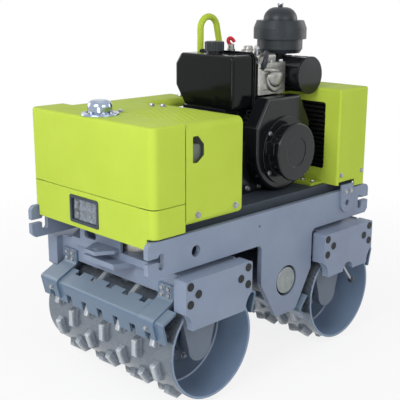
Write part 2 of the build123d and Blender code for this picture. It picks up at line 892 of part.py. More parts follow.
save("rear_box", rear_cover())
cooler_x = box_front - skin
cooler_low = deck_top + opening_rise[0] - cooler_lap
cooler_high = deck_top + opening_rise[1] + cooler_lap
cooler = block(cooler_x - cooler_t, cooler_x, opening_y[0] - cooler_lap, opening_y[1] + cooler_lap,
               cooler_low, cooler_high)
pitch = (opening_rise[1] - opening_rise[0]) / cooler_rows
for row in range(cooler_rows):
    z = deck_top + opening_rise[0] + row * pitch
    cooler -= block(cooler_x - cooler_groove, cooler_x + 1, *opening_y, z, z + pitch - cooler_tube_h)
save("oil_cooler", cooler)


# Engine: crankcase with feet and a pump, finned cylinder, head and rocker cover
def crankcase():
    x0 = crank_x - case_rear
    x1 = crank_x + case_front
    face = outline((x0, deck_top), (x1, deck_top), (x1, case_top - case_chamfer), (x1 - case_chamfer, case_top),
                   (x0 + case_chamfer, case_top), (x0, case_top - case_chamfer))
    body = across(face, case_back_y, case_front_y)
    body += block(x0 - foot_rail_out, x1 + foot_rail_out, -foot_rail_half, foot_rail_half,
                  deck_top, deck_top + foot_rail_h)
    end = case_back_y - pump_length
    body += rod_y(crank_x, crank_z, pump_r, end, case_back_y)
    return body + rod_z(crank_x, (end + case_back_y) / 2, pump_port_r, crank_z, crank_z + pump_r + pump_port_r)


def cylinder():
    length = barrel_front + barrel_rear
    middle = crank_x + (barrel_front - barrel_rear) / 2
    body = Pos(middle, 0, 0) * upward(RectangleRounded(length, 2 * barrel_half, barrel_round), case_top, barrel_top)
    fin = RectangleRounded(length + fin_out, 2 * (barrel_half + fin_out), barrel_round + fin_out / 2)
    pitch = (barrel_h - fin_t) / fin_count
    for k in range(fin_count):
        z = case_top + (k + 0.5) * pitch
        body += Pos(middle - fin_out / 2, 0, 0) * upward(fin, z, z + fin_t)
    return body


def fuel_bracket():
    top = deck_top + fuel_rise
    front = crank_x + fuel_front - tank_bracket_inset
    step = crank_x + fuel_front - fuel_depth + fuel_flange_gap
    shelf = block(step, front, -tank_bracket_half, tank_bracket_half, top - tank_bracket_t, top)
    return shelf + block(crank_x + barrel_front, step + tank_bracket_lap, -tank_bracket_half, tank_bracket_half,
                         top - 2 * tank_bracket_t, top - tank_bracket_t)


def cylinder_head():
    x1 = crank_x + head_front
    body = block(head_back, x1, *head_y, barrel_top, head_top)
    body = fillet(body.edges().filter_by(Axis.Z), head_round)
    for rise in head_grooves:
        z = barrel_top + rise
        body -= block(head_back - 1, x1 + 1, head_y[1] - head_groove_depth, head_y[1] + 1, z, z + head_groove_h)
    pad = rod_y(crank_x + head_pad_x, barrel_top + head_pad_rise, head_pad_r, head_y[1], head_y[1] + head_pad_t)
    body += fillet(pad.faces().sort_by(Axis.Y)[-1].edges(), head_pad_round)
    rocker = block(head_back + rocker_inset, x1 - rocker_inset, head_y[0] + rocker_inset, head_y[1] - rocker_inset,
                   head_top, head_top + rocker_h)
    return body + fillet(rocker.edges().filter_by(Axis.Z) + top_edges(rocker), rocker_round)


save("engine_block", crankcase())
save("cylinder", cylinder() + fuel_bracket())
save("cylinder_head", cylinder_head())


# Fan shroud with the neck to the cylinder, and the recoil starter on it
def shroud():
    y1 = case_front_y + shroud_t
    neck = outline((crank_x - shroud_r, crank_z), (crank_x + shroud_r, crank_z), (crank_x + shroud_r, crank_z + neck_hip),
                   (crank_x + neck_front, crank_z + neck_h), (crank_x - neck_rear, crank_z + neck_h),
                   (crank_x - shroud_r, crank_z + neck_hip))
    body = rod_y(crank_x, crank_z, shroud_r, case_front_y, y1) + across(neck, case_front_y, y1)
    return fillet(body.faces().sort_by(Axis.Y)[-1].edges(), shroud_round)


def recoil():
    y0 = case_front_y + shroud_t
    y1 = y0 + recoil_base_t
    y2 = y1 + recoil_drum_t
    y3 = y2 + recoil_disc_t
    body = rod_y(crank_x, crank_z, recoil_base_r, y0, y1) + rod_y(crank_x, crank_z, recoil_drum_r, y1, y2)
    slit = block(recoil_drum_r - louvre_depth, recoil_drum_r + 1, y1 + louvre_margin, y2 - louvre_margin,
                 -louvre_w / 2, louvre_w / 2)
    step = 360 / louvre_count
    body -= [Pos(crank_x, 0, crank_z) * Rot(0, k * step, 0) * slit for k in range(louvre_count)]
    disc = rod_y(crank_x, crank_z, recoil_disc_r, y2, y3)
    disc = fillet(disc.faces().sort_by(Axis.Y)[-1].edges(), recoil_round)
    disc -= rod_y(crank_x, crank_z, recoil_ring_r, y3 - recoil_ring_depth, y3 + 1)
    length, depth, height = rope_block
    x0 = crank_x + recoil_drum_r
    guide = block(x0 - length / 2, x0 + length / 2, y1, y1 + depth, crank_z, crank_z + height)
    return body + disc + fillet(guide.edges().filter_by(Axis.Y), recoil_round)


save("fan_shroud", shroud())
save("recoil_starter", recoil())


# Fuel tank of two pressed halves with a seam flange, and its ribbed cap
def fuel_tank():
    x1 = crank_x + fuel_front
    seam = x1 - fuel_depth
    y0, y1 = fuel_y
    low = deck_top + fuel_rise
    high = low + fuel_h
    face = outline((y0 + fuel_clip_low[0], low), (y1, low), (y1, high), (y0 + fuel_clip_high[0], high),
                   (y0, high - fuel_clip_high[1]), (y0, low + fuel_clip_low[1]))
    face = fillet(face.vertices(), fuel_corner)
    body = along(face, seam, x1)
    body = fillet(body.faces().sort_by(Axis.X)[-1].edges(), fuel_round)
    body += along(offset(face, amount=fuel_flange_out), seam - fuel_flange_t, seam)
    body += along(offset(face, amount=-fuel_flange_out), seam - fuel_flange_t - fuel_back, seam)
    top = deck_top + fuel_rise + fuel_h
    return body + rod_z(x1 - fuel_cap_back, 0, fuel_neck_r, top - fuel_corner, top + fuel_neck_h)


save("fuel_tank", fuel_tank())
cap_x = crank_x + fuel_front - fuel_cap_back
cap_z = deck_top + fuel_rise + fuel_h + fuel_neck_h
cap = fillet(top_edges(rod_z(cap_x, 0, fuel_cap_r, cap_z, cap_z + fuel_cap_h)), recoil_round)
step = 360 / fuel_cap_ribs
grooves = [Pos(cap_x, 0, 0) * Rot(0, 0, k * step) * rod_z(fuel_cap_r + 1, 0, fuel_cap_groove_r, cap_z - 1, cap_z + fuel_cap_h + 1)
           for k in range(fuel_cap_ribs)]
save("fuel_cap", cap - grooves)


# Muffler with rolled rims, a heat shield on ribs and its pipe to the head
def muffler():
    y0, y1 = muffler_y
    body = rod_y(stack_x, muffler_z, muffler_r, y0, y1)
    for y in (y0, y1 - muffler_rim_t):
        body += rod_y(stack_x, muffler_z, muffler_r + muffler_rim, y, y + muffler_rim_t)
    r = muffler_r + shield_gap
    shell = rod_y(0, 0, r + shield_t, y0 + muffler_rim_t, y1 - muffler_rim_t)
    shell -= rod_y(0, 0, r, y0, y1)
    half = radians(shield_half_angle)
    reach = 2 * r
    wedge = outline((0, 0), (reach * sin(half), reach * cos(half)), (-reach * sin(half), reach * cos(half)))
    body += Pos(stack_x, 0, muffler_z) * (shell & across(wedge, y0, y1))
    rib = rod_y(0, 0, r + shield_t, (y0 + y1 - muffler_rim_t) / 2, (y0 + y1 + muffler_rim_t) / 2)
    body += Pos(stack_x, 0, muffler_z) * (rib & across(wedge, y0, y1))
    return body + rod_x(pipe_y, muffler_z, pipe_r, stack_x, head_back)


save("muffler", muffler())

# Air cleaner: bowl on its elbow, then rim, crown and dome turned about one axis
rim_low = bowl_low + bowl_h
crown_low = rim_low + rim_h
dome_low = crown_low + crown_h
dome_top = dome_low + dome_h
elbow_z = bowl_low - elbow_drop
bowl = outline((0, bowl_low), (bowl_foot_r, bowl_low), (bowl_r, bowl_low + bowl_foot_h), (bowl_r, rim_low), (0, rim_low))
bowl = Pos(stack_x, cleaner_y, 0) * revolve(Plane.XZ * bowl, Axis.Z)
bowl += rod_z(stack_x, cleaner_y, elbow_r, elbow_z, bowl_low) + rod_x(cleaner_y, elbow_z, elbow_r, stack_x, head_back)
save("air_cleaner_bowl", bowl + Pos(stack_x, cleaner_y, elbow_z) * Sphere(elbow_r))
dome = rod_z(stack_x, cleaner_y, rim_r, rim_low, crown_low)
dome += Pos(stack_x, cleaner_y, (crown_low + dome_low) / 2) * Cone(rim_r, crown_r, crown_h)
top = rod_z(stack_x, cleaner_y, dome_r, dome_low, dome_top)
dome += fillet(top_edges(top), dome_round)
save("air_cleaner_dome", dome + rod_z(stack_x, cleaner_y, nut_r, dome_top, dome_top + nut_h))

# Lifting loop: one bent bar on two feet, its rear leg leaning back
def lifting_loop():
    x1 = crank_x + loop_front
    mid = x1 - loop_arch_r
    arch_z = deck_top + loop_rise - loop_r - loop_arch_r
    lean = radians(loop_lean)
    bend = (mid - loop_arch_r * cos(lean), arch_z + loop_arch_r * sin(lean))
    x0 = bend[0] - (bend[1] - deck_top) * tan(lean)
    path = Line((x1, loop_y, deck_top), (x1, loop_y, arch_z))
    path += ThreePointArc((x1, loop_y, arch_z), (mid, loop_y, arch_z + loop_arch_r), (bend[0], loop_y, bend[1]))
    path += Line((bend[0], loop_y, bend[1]), (x0, loop_y, deck_top))
    body = sweep(Pos(x1, loop_y, deck_top) * Circle(loop_r), path=path)
    for x in (x0, x1):
        body += rod_z(x, loop_y, loop_foot_r, deck_top, deck_top + loop_foot_t)
    floor = block(x0 - 2 * loop_foot_r, x1 + loop_foot_r, loop_y - loop_foot_r, loop_y + loop_foot_r,
                  deck_low, deck_top)
    return body - floor


save("lifting_loop", lifting_loop())
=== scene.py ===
import json
import bpy
import bmesh
import numpy as np
from mathutils import Matrix, Vector


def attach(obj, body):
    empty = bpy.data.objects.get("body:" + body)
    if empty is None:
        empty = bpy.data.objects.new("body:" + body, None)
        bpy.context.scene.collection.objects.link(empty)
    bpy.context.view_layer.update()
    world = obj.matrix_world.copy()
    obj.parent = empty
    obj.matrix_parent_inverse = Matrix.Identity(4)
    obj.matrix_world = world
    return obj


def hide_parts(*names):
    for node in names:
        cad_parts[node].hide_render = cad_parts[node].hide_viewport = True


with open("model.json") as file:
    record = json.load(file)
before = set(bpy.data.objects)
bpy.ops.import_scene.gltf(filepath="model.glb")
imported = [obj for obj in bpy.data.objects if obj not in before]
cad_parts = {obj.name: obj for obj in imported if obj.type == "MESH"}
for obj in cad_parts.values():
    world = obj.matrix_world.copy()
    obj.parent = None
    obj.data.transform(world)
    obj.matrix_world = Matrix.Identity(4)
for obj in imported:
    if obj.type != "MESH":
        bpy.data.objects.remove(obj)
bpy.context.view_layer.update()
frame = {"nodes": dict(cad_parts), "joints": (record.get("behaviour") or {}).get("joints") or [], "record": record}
nodes = frame["nodes"]
scene = bpy.context.scene
print("frame loaded,", len(nodes), "nodes")

# lengths are in metres; an axle is the x and z that a drum turns about, from its joint
axles = {joint["child"]: (joint["pos_m"][0], joint["pos_m"][2])
         for joint in frame["joints"] if joint["child"].endswith("_drum")}


# shader tools: a colour is screen red, green, blue from 0 to 255
def linearColour(red, green, blue):
    # the linear colour that a shader socket holds
    c = np.array([red, green, blue]) / 255.0
    linear = np.where(c <= 0.04045, c / 12.92, ((c + 0.055) / 1.055) ** 2.4)
    return (*linear.tolist(), 1.0)


def startMaterial(name):
    mat = bpy.data.materials.new(name)
    mat.use_nodes = True
    tree = mat.node_tree
    tree.nodes.clear()
    out = tree.nodes.new("ShaderNodeOutputMaterial")
    shader = tree.nodes.new("ShaderNodeBsdfPrincipled")
    tree.links.new(shader.outputs[0], out.inputs["Surface"])
    coords = tree.nodes.new("ShaderNodeTexCoord").outputs["Object"]
    return mat, tree, shader, coords


def stretched(tree, coords, scale):
    node = tree.nodes.new("ShaderNodeMapping")
    node.inputs["Scale"].default_value = scale
    tree.links.new(coords, node.inputs["Vector"])
    return node.outputs[0]


def noiseOf(tree, coords, scale, detail, rough):
    node = tree.nodes.new("ShaderNodeTexNoise")
    node.inputs["Scale"].default_value = scale
    node.inputs["Detail"].default_value = detail
    node.inputs["Roughness"].default_value = rough
    tree.links.new(coords, node.inputs["Vector"])
    return node.outputs["Fac"]


def cellsOf(tree, coords, scale):
    # one random grey for every cell
    node = tree.nodes.new("ShaderNodeTexVoronoi")
    node.inputs["Scale"].default_value = scale
    tree.links.new(coords, node.inputs["Vector"])
    grey = tree.nodes.new("ShaderNodeRGBToBW")
    tree.links.new(node.outputs["Color"], grey.inputs[0])
    return grey.outputs[0]


def rangeOf(tree, value, low, high, outLow, outHigh):
    # low to high becomes outLow to outHigh, and stays within them
    node = tree.nodes.new("ShaderNodeMapRange")
    keys = ("From Min", "From Max", "To Min", "To Max")
    for key, number in zip(keys, (low, high, outLow, outHigh)):
        node.inputs[key].default_value = number
    tree.links.new(value, node.inputs["Value"])
    return node.outputs[0]


noiseMiddle = (0.3, 0.7)  # most of a noise's values lie here


def spreadOf(tree, noise, low, high):
    # a noise stretched to run from low to high
    return rangeOf(tree, noise, *noiseMiddle, low, high)


def mathOf(tree, kind, first, second):
    node = tree.nodes.new("ShaderNodeMath")
    node.operation = kind
    for socket, value in zip(node.inputs, (first, second)):
        if isinstance(value, (int, float)):
            socket.default_value = value
        else:
            tree.links.new(value, socket)
    return node.outputs[0]


def mixOf(tree, factor, first, second):
    node = tree.nodes.new("ShaderNodeMix")
    node.data_type = "RGBA"
    tree.links.new(factor, node.inputs["Factor"])
    for socket, value in ((node.inputs[6], first), (node.inputs[7], second)):
        if isinstance(value, tuple):
            socket.default_value = linearColour(*value)
        else:
            tree.links.new(value, socket)
    return node.outputs[2]


def splitOf(tree, vector):
    node = tree.nodes.new("ShaderNodeSeparateXYZ")
    tree.links.new(vector, node.inputs[0])
    return node.outputs


# rounded edges: rays per point, and the cosine to the true normal on a flat and on an edge
edgeStyle = {"samples": 4, "cosine": (0.99, 0.82)}


def softEdges(tree, radius):
    # a normal that runs round the edges; the radius is a length or a node's output
    node = tree.nodes.new("ShaderNodeBevel")
    node.samples = edgeStyle["samples"]
    if isinstance(radius, float):
        node.inputs["Radius"].default_value = radius
    else:
        tree.links.new(radius, node.inputs["Radius"])
    return node.outputs[0]


def bumpOf(tree, height, strength, distance, normal=None):
    node = tree.nodes.new("ShaderNodeBump")
    node.inputs["Strength"].default_value = strength
    node.inputs["Distance"].default_value = distance
    tree.links.new(height, node.inputs["Height"])
    if normal is not None:
        tree.links.new(normal, node.inputs["Normal"])
    return node.outputs[0]


def edgeMask(tree, radius):
    # how far the rounded normal turns from the true one: 0 on flats, 1 on edges
    geometry = tree.nodes.new("ShaderNodeNewGeometry")
    node = tree.nodes.new("ShaderNodeVectorMath")
    node.operation = "DOT_PRODUCT"
    tree.links.new(softEdges(tree, radius), node.inputs[0])
    tree.links.new(geometry.outputs["Normal"], node.inputs[1])
    return rangeOf(tree, node.outputs["Value"], *edgeStyle["cosine"], 0.0, 1.0)


upwardShare = (0.25, 0.75)  # height of the normal on a wall and on a top


def facingUp(tree):
    # 0 on walls, 1 on tops
    geometry = tree.nodes.new("ShaderNodeNewGeometry")
    height = splitOf(tree, geometry.outputs["Normal"])["Z"]
    return rangeOf(tree, height, *upwardShare, 0.0, 1.0)


# paints: two close shades, the tone of the edges (partly wear, partly painted highlight), and on some a paler tone
# painted on the tops as painted light
paintLooks = {
    "coverGreen": dict(base=(179, 200, 74), shade=(172, 193, 66), edge=(199, 219, 104),
                       rough=(0.46, 0.58), coat=0.03, shine=0.07),
    "frameGrey": dict(base=(127, 139, 160), shade=(117, 129, 150), edge=(152, 163, 181),
                      rough=(0.42, 0.56), coat=0.05, shine=0.35),
    # the scraper's tops are painted paler: painted light falling on them from above
    "scraperBlue": dict(base=(90, 111, 134), shade=(82, 103, 126), edge=(136, 152, 170),
                        rough=(0.28, 0.40), coat=0.08, shine=0.45, dust=(117, 133, 149)),
    "shadowGrey": dict(base=(84, 92, 104), shade=(72, 80, 92), edge=(110, 118, 130),
                       rough=(0.45, 0.60), coat=0.05, shine=0.4),
    # the deck is painted darker than the frame paint as painted shade under the engine; its paler edges are a
    # painted highlight
    "deckGrey": dict(base=(68, 75, 85), shade=(59, 66, 76), edge=(132, 140, 152),
                     rough=(0.45, 0.60), coat=0.0, shine=0.25),
    # the arms are painted darker than the frame paint: painted shade
    "armGrey": dict(base=(107, 117, 131), shade=(99, 109, 123), edge=(134, 144, 158),
                    rough=(0.42, 0.56), coat=0.0, shine=0.3),
    # the web welds are painted paler than the frame paint: a painted highlight along the bead
    "beadGrey": dict(base=(172, 183, 200), shade=(160, 171, 189), edge=(190, 199, 212),
                     rough=(0.36, 0.50), coat=0.0, shine=0.4),
    "tankGrey": dict(base=(132, 136, 140), shade=(118, 122, 126), edge=(150, 154, 158),
                     rough=(0.40, 0.55), coat=0.05, shine=0.5),
    "engineGloss": dict(base=(22, 24, 27), shade=(15, 17, 20), edge=(112, 118, 126),
                        rough=(0.14, 0.24), coat=0.10, shine=0.30),
    "fuelGloss": dict(base=(11, 13, 14), shade=(8, 10, 11), edge=(92, 98, 104),
                      rough=(0.08, 0.15), coat=0.05, shine=0.16),
    "coolerBlack": dict(base=(18, 18, 19), shade=(13, 13, 14), edge=(40, 40, 42),
                        rough=(0.40, 0.55), coat=0.0, shine=0.12),
}
# a noise is its scale, detail and roughness
paintTexture = {
    "clouds": (5.0, 4.0, 0.6), "smudge": (22.0, 5.0, 0.65), "peel": (420.0, 2.0, 0.5),
    "peelStrength": 0.06, "peelDepth": 0.0006, "edge": 0.0022, "edgeShare": 0.55, "coatRough": 0.12,
}


def sprayedPaint(name, look):
    # two close shades in soft clouds, a paler line on the edges that is partly wear and partly painted highlight,
    # paler tops as painted light where a paint has them, fine orange peel
    texture = paintTexture
    mat, tree, shader, coords = startMaterial(name)
    clouds = spreadOf(tree, noiseOf(tree, coords, *texture["clouds"]), 0.0, 1.0)
    colour = mixOf(tree, clouds, look["base"], look["shade"])
    # paler tops: painted light falling on them
    if "dust" in look:
        colour = mixOf(tree, facingUp(tree), colour, look["dust"])
    # the paler edge tone: partly wear, partly painted highlight
    edges = mathOf(tree, "MULTIPLY", edgeMask(tree, texture["edge"]), texture["edgeShare"])
    colour = mixOf(tree, edges, colour, look["edge"])
    tree.links.new(colour, shader.inputs["Base Color"])
    smudge = noiseOf(tree, coords, *texture["smudge"])
    tree.links.new(spreadOf(tree, smudge, *look["rough"]), shader.inputs["Roughness"])
    peel = noiseOf(tree, coords, *texture["peel"])
    rounded = softEdges(tree, texture["edge"])
    normal = bumpOf(tree, peel, texture["peelStrength"], texture["peelDepth"], rounded)
    tree.links.new(normal, shader.inputs["Normal"])
    shader.inputs["Coat Weight"].default_value = look["coat"]
    shader.inputs["Coat Roughness"].default_value = texture["coatRough"]
    shader.inputs["Specular IOR Level"].default_value = look["shine"]
    return mat


# each "from" is where that zone starts and is full, measured from the axle, or across for the rim;
# metal is that of the shell and of the pads, softness that of the pads and of the rim
drumLook = {
    # the web's tone is darker than the wall's: painted shade inside the drum
    "zinc": ((104, 113, 124), (124, 132, 142)), "wall": ((112, 132, 158), (124, 143, 168)),
    # padTip and padEdge are paler tones on the pads: painted highlight, partly wear
    "web": (82, 95, 112), "padTip": (172, 179, 187), "padEdge": (236, 239, 242), "padEdgeShare": 0.8,
    "wallFrom": (0.1655, 0.1668), "zincFrom": (0.1735, 0.1745), "padFrom": (0.1755, 0.1775),
    "wornFrom": (0.184, 0.195), "rimFrom": (0.300, 0.312),
    "clouds": (9.0, 5.0, 0.6), "cloudShare": 0.85, "cells": 95.0, "cellShare": 0.15, "spangle": (0.20, 0.76),
    "metal": (0.62, 0.22), "rough": (0.24, 0.30), "wornPolish": 0.06, "insideDull": 0.16,
    "rub": (3.0, 3.0, 0.5), "rubStretch": (14.0, 6.0, 14.0),
    "lumps": (130.0, 3.0, 0.6), "lumpClouds": 1.5, "lumpStrength": 0.012, "lumpDepth": 0.0010,
    "edge": 0.0045, "softness": (0.009, 0.0035),
}


def drumShell(name, axle):
    # zinc outside, paint inside: the distance from the axle tells which
    look = drumLook
    mat, tree, shader, coords = startMaterial(name)

    def times(first, second):
        return mathOf(tree, "MULTIPLY", first, second)

    place = splitOf(tree, coords)
    dx = mathOf(tree, "SUBTRACT", place["X"], axle[0])
    dz = mathOf(tree, "SUBTRACT", place["Z"], axle[1])
    reach = mathOf(tree, "POWER", mathOf(tree, "ADD", times(dx, dx), times(dz, dz)), 0.5)
    outside = rangeOf(tree, reach, *look["zincFrom"], 0.0, 1.0)
    tipWearAndHighlight = rangeOf(tree, reach, *look["wornFrom"], 0.0, 1.0)
    wall = rangeOf(tree, reach, *look["wallFrom"], 0.0, 1.0)
    # spangled zinc; the pads' tips paler, partly wear and partly painted highlight; their edges brightest, a
    # painted highlight with some wear
    clouds = noiseOf(tree, coords, *look["clouds"])
    cells = times(cellsOf(tree, coords, look["cells"]), look["cellShare"])
    spangle = mathOf(tree, "ADD", cells, times(clouds, look["cloudShare"]))
    zinc = mixOf(tree, rangeOf(tree, spangle, *look["spangle"], 0.0, 1.0), *look["zinc"])
    zinc = mixOf(tree, tipWearAndHighlight, zinc, look["padTip"])
    tipEdgeWearAndHighlight = times(edgeMask(tree, look["edge"]), tipWearAndHighlight)
    zinc = mixOf(tree, times(tipEdgeWearAndHighlight, look["padEdgeShare"]), zinc, look["padEdge"])
    # inside paint: the wall in two tones, the web darker as painted shade
    inner = mixOf(tree, wall, look["web"], mixOf(tree, clouds, *look["wall"]))
    tree.links.new(mixOf(tree, outside, inner, zinc), shader.inputs["Base Color"])
    metal = rangeOf(tree, reach, *look["padFrom"], *look["metal"])
    tree.links.new(times(outside, metal), shader.inputs["Metallic"])
    rub = noiseOf(tree, stretched(tree, coords, look["rubStretch"]), *look["rub"])
    shine = mathOf(tree, "SUBTRACT", spreadOf(tree, rub, *look["rough"]), times(tipWearAndHighlight, look["wornPolish"]))
    dull = times(mathOf(tree, "SUBTRACT", 1.0, outside), look["insideDull"])
    tree.links.new(mathOf(tree, "ADD", shine, dull), shader.inputs["Roughness"])
    lumps = mathOf(tree, "ADD", noiseOf(tree, coords, *look["lumps"]), times(clouds, look["lumpClouds"]))
    # pads run softly into the shell, the rim stays crisp
    across = mathOf(tree, "ABSOLUTE", place["Y"], 0.0)
    rounded = softEdges(tree, rangeOf(tree, across, *look["rimFrom"], *look["softness"]))
    normal = bumpOf(tree, lumps, look["lumpStrength"], look["lumpDepth"], rounded)
    tree.links.new(normal, shader.inputs["Normal"])
    return mat


# bare metals: two tones, roughness, and how fine and deep their grain is
metalLooks = {
    "castAluminium": dict(base=(172, 172, 168), shade=(132, 132, 129), rough=(0.34, 0.5),
                          grain=260.0, depth=0.0007),
    "dullAluminium": dict(base=(148, 154, 154), shade=(130, 136, 137), rough=(0.36, 0.5),
                          grain=260.0, depth=0.0005),
    "machinedSteel": dict(base=(190, 188, 182), shade=(160, 158, 152), rough=(0.26, 0.4),
                          grain=500.0, depth=0.0002),
    "zincFastener": dict(base=(172, 175, 180), shade=(150, 153, 158), rough=(0.26, 0.38),
                         grain=600.0, depth=0.0002),
    "brightChrome": dict(base=(164, 177, 196), shade=(150, 163, 184), rough=(0.05, 0.10),
                         grain=80.0, depth=0.00005),
    "lampMirror": dict(base=(132, 142, 152), shade=(120, 130, 141), rough=(0.22, 0.34),
                       grain=200.0, depth=0.00005),
    "finMetal": dict(base=(66, 67, 69), shade=(48, 49, 51), rough=(0.4, 0.55),
                     grain=300.0, depth=0.0002),
}
metalTexture = {"clouds": (40.0, 4.0, 0.6), "grain": (3.0, 0.6), "grainStrength": 0.35, "metal": 0.95}


def cloudedTones(tree, shader, clouds, look):
    # one noise gives both the mix of the two tones and the roughness
    colour = mixOf(tree, spreadOf(tree, clouds, 0.0, 1.0), look["base"], look["shade"])
    tree.links.new(colour, shader.inputs["Base Color"])
    tree.links.new(spreadOf(tree, clouds, *look["rough"]), shader.inputs["Roughness"])


def bareMetal(name, look):
    # two tones in fine clouds and a shallow grain
    texture = metalTexture
    mat, tree, shader, coords = startMaterial(name)
    cloudedTones(tree, shader, noiseOf(tree, coords, *texture["clouds"]), look)
    shader.inputs["Metallic"].default_value = texture["metal"]
    grain = noiseOf(tree, coords, look["grain"], *texture["grain"])
    tree.links.new(bumpOf(tree, grain, texture["grainStrength"], look["depth"]), shader.inputs["Normal"])
    return mat


# plastics and rubbers, described as the metals are
plasticLooks = {
    "mouldedBlack": dict(base=(40, 45, 50), shade=(32, 37, 42), rough=(0.34, 0.46),
                         grain=700.0, depth=0.0003),
    "plugRubber": dict(base=(36, 38, 41), shade=(28, 30, 33), rough=(0.55, 0.70),
                       grain=420.0, depth=0.0004),
    "mountRubber": dict(base=(22, 22, 23), shade=(17, 17, 18), rough=(0.65, 0.80),
                        grain=300.0, depth=0.0005),
    "lampBezel": dict(base=(56, 64, 76), shade=(47, 55, 67), rough=(0.38, 0.5),
                      grain=500.0, depth=0.0003),
    "chipCream": dict(base=(158, 164, 160), shade=(146, 152, 149), rough=(0.42, 0.55),
                      grain=600.0, depth=0.0001),
    "milkyTank": dict(base=(132, 140, 130), shade=(112, 121, 112), rough=(0.30, 0.42),
                      grain=300.0, depth=0.0002),
    "leverRed": dict(base=(196, 34, 48), shade=(178, 26, 42), rough=(0.30, 0.42),
                     grain=300.0, depth=0.0002),
}
plasticTexture = {"clouds": (14.0, 3.0, 0.6), "grain": (2.0, 0.5), "grainStrength": 0.25,
                  "shine": 0.3, "edge": 0.0015}


def mouldedPlastic(name, look):
    # near-even colour, broad roughness patches and a moulding grain
    texture = plasticTexture
    mat, tree, shader, coords = startMaterial(name)
    cloudedTones(tree, shader, noiseOf(tree, coords, *texture["clouds"]), look)
    shader.inputs["Specular IOR Level"].default_value = texture["shine"]
    grain = noiseOf(tree, coords, look["grain"], *texture["grain"])
    rounded = softEdges(tree, texture["edge"])
    normal = bumpOf(tree, grain, texture["grainStrength"], look["depth"], rounded)
    tree.links.new(normal, shader.inputs["Normal"])
    return mat


glassLook = {"tint": (0.93, 0.95, 0.97), "ior": 1.46, "rough": (0.10, 0.17), "haze": (60.0, 2.0, 0.5)}


def clearGlass(name, look):
    # see-through, with a slight haze that comes and goes; the tint is linear
    mat, tree, shader, coords = startMaterial(name)
    shader.inputs["Base Color"].default_value = (*look["tint"], 1.0)
    shader.inputs["Transmission Weight"].default_value = 1.0
    shader.inputs["IOR"].default_value = look["ior"]
    haze = noiseOf(tree, coords, *look["haze"])
    tree.links.new(spreadOf(tree, haze, *look["rough"]), shader.inputs["Roughness"])
    return mat


finishes = {name: sprayedPaint(name, look) for name, look in paintLooks.items()}
finishes.update({name: bareMetal(name, look) for name, look in metalLooks.items()})
finishes.update({name: mouldedPlastic(name, look) for name, look in plasticLooks.items()})
finishes["frontShell"] = drumShell("frontShell", axles["front_drum"])
finishes["rearShell"] = drumShell("rearShell", axles["rear_drum"])
finishes["lampGlass"] = clearGlass("lampGlass", glassLook)

# which finish each slot of the record gets
slotFinish = {
    "frame_paint": "frameGrey", "scraper_paint": "scraperBlue", "black_plug": "plugRubber",
    "bare_steel": "machinedSteel", "dark_steel": "shadowGrey", "bare_aluminium": "castAluminium",
    "rubber_black": "mountRubber", "cover_green": "coverGreen", "lamp_black": "lampBezel",
    "lamp_glass": "lampGlass", "bright_chrome": "brightChrome", "tank_grey": "tankGrey",
    "cooler_black": "coolerBlack", "engine_black": "engineGloss", "engine_plastic": "mouldedBlack",
    "lever_black": "mouldedBlack", "drum_zinc": "frontShell",
}
# nodes that look different from the rest of their slot
ownFinish = {
    # the deck and the arms get darker copies of the frame paint: painted shade
    "rear_drum": "rearShell", "cylinder": "engineGloss", "fuel_tank": "fuelGloss", "engine_deck": "deckGrey",
    "front_arms": "armGrey", "rear_arms": "armGrey", "exciter_covers": "dullAluminium",
}
for part in frame["record"]["subparts"]:
    finish = ownFinish.get(part["node"], slotFinish[part["material_slot"]])
    nodes[part["node"]].material_slots[0].material = finishes[finish]
print("finishes on the CAD nodes,", len(finishes))


# mesh tools: a shape is its points and the quads between them
meshStyle = {"merge": 1e-6, "sliver": 1e-7, "sharp": 38.0}


def turnsOf(count):
    # even steps round a full turn
    return np.linspace(0.0, 2.0 * np.pi, count, endpoint=False)


def gridQuads(rows, cols, wrapRows=False, wrapCols=True):
    # quads between neighbouring points of a rows by cols grid
    rowSteps = np.arange(rows if wrapRows else rows - 1)
    colSteps = np.arange(cols if wrapCols else cols - 1)
    i, j = np.meshgrid(rowSteps, colSteps, indexing="ij")
    i2 = (i + 1) % rows
    j2 = (j + 1) % cols
    return np.stack([i * cols + j, i * cols + j2, i2 * cols + j2, i2 * cols + j], -1).reshape(-1, 4)


def squareGrid(count):
    # u and v from -1 to 1, and the quads between them
    steps = np.linspace(-1, 1, count)
    u, v = np.meshgrid(steps, steps, indexing="ij")
    return u, v, gridQuads(count, count, False, False)


def repeatQuads(quads, copies, size):
    # the quads of one shape of that many points, for every copy in turn
    shift = (np.arange(copies) * size)[:, None, None]
    return (quads[None] + shift).reshape(-1, 4)


def joined(shapes):
    # several shapes as one, each one's quads moved past the points before it
    flat = [points.reshape(-1, 3) for points, quads in shapes]
    starts = np.cumsum([0] + [len(points) for points in flat[:-1]])
    moved = [quads + start for (_, quads), start in zip(shapes, starts)]
    return np.concatenate(flat), np.concatenate(moved)


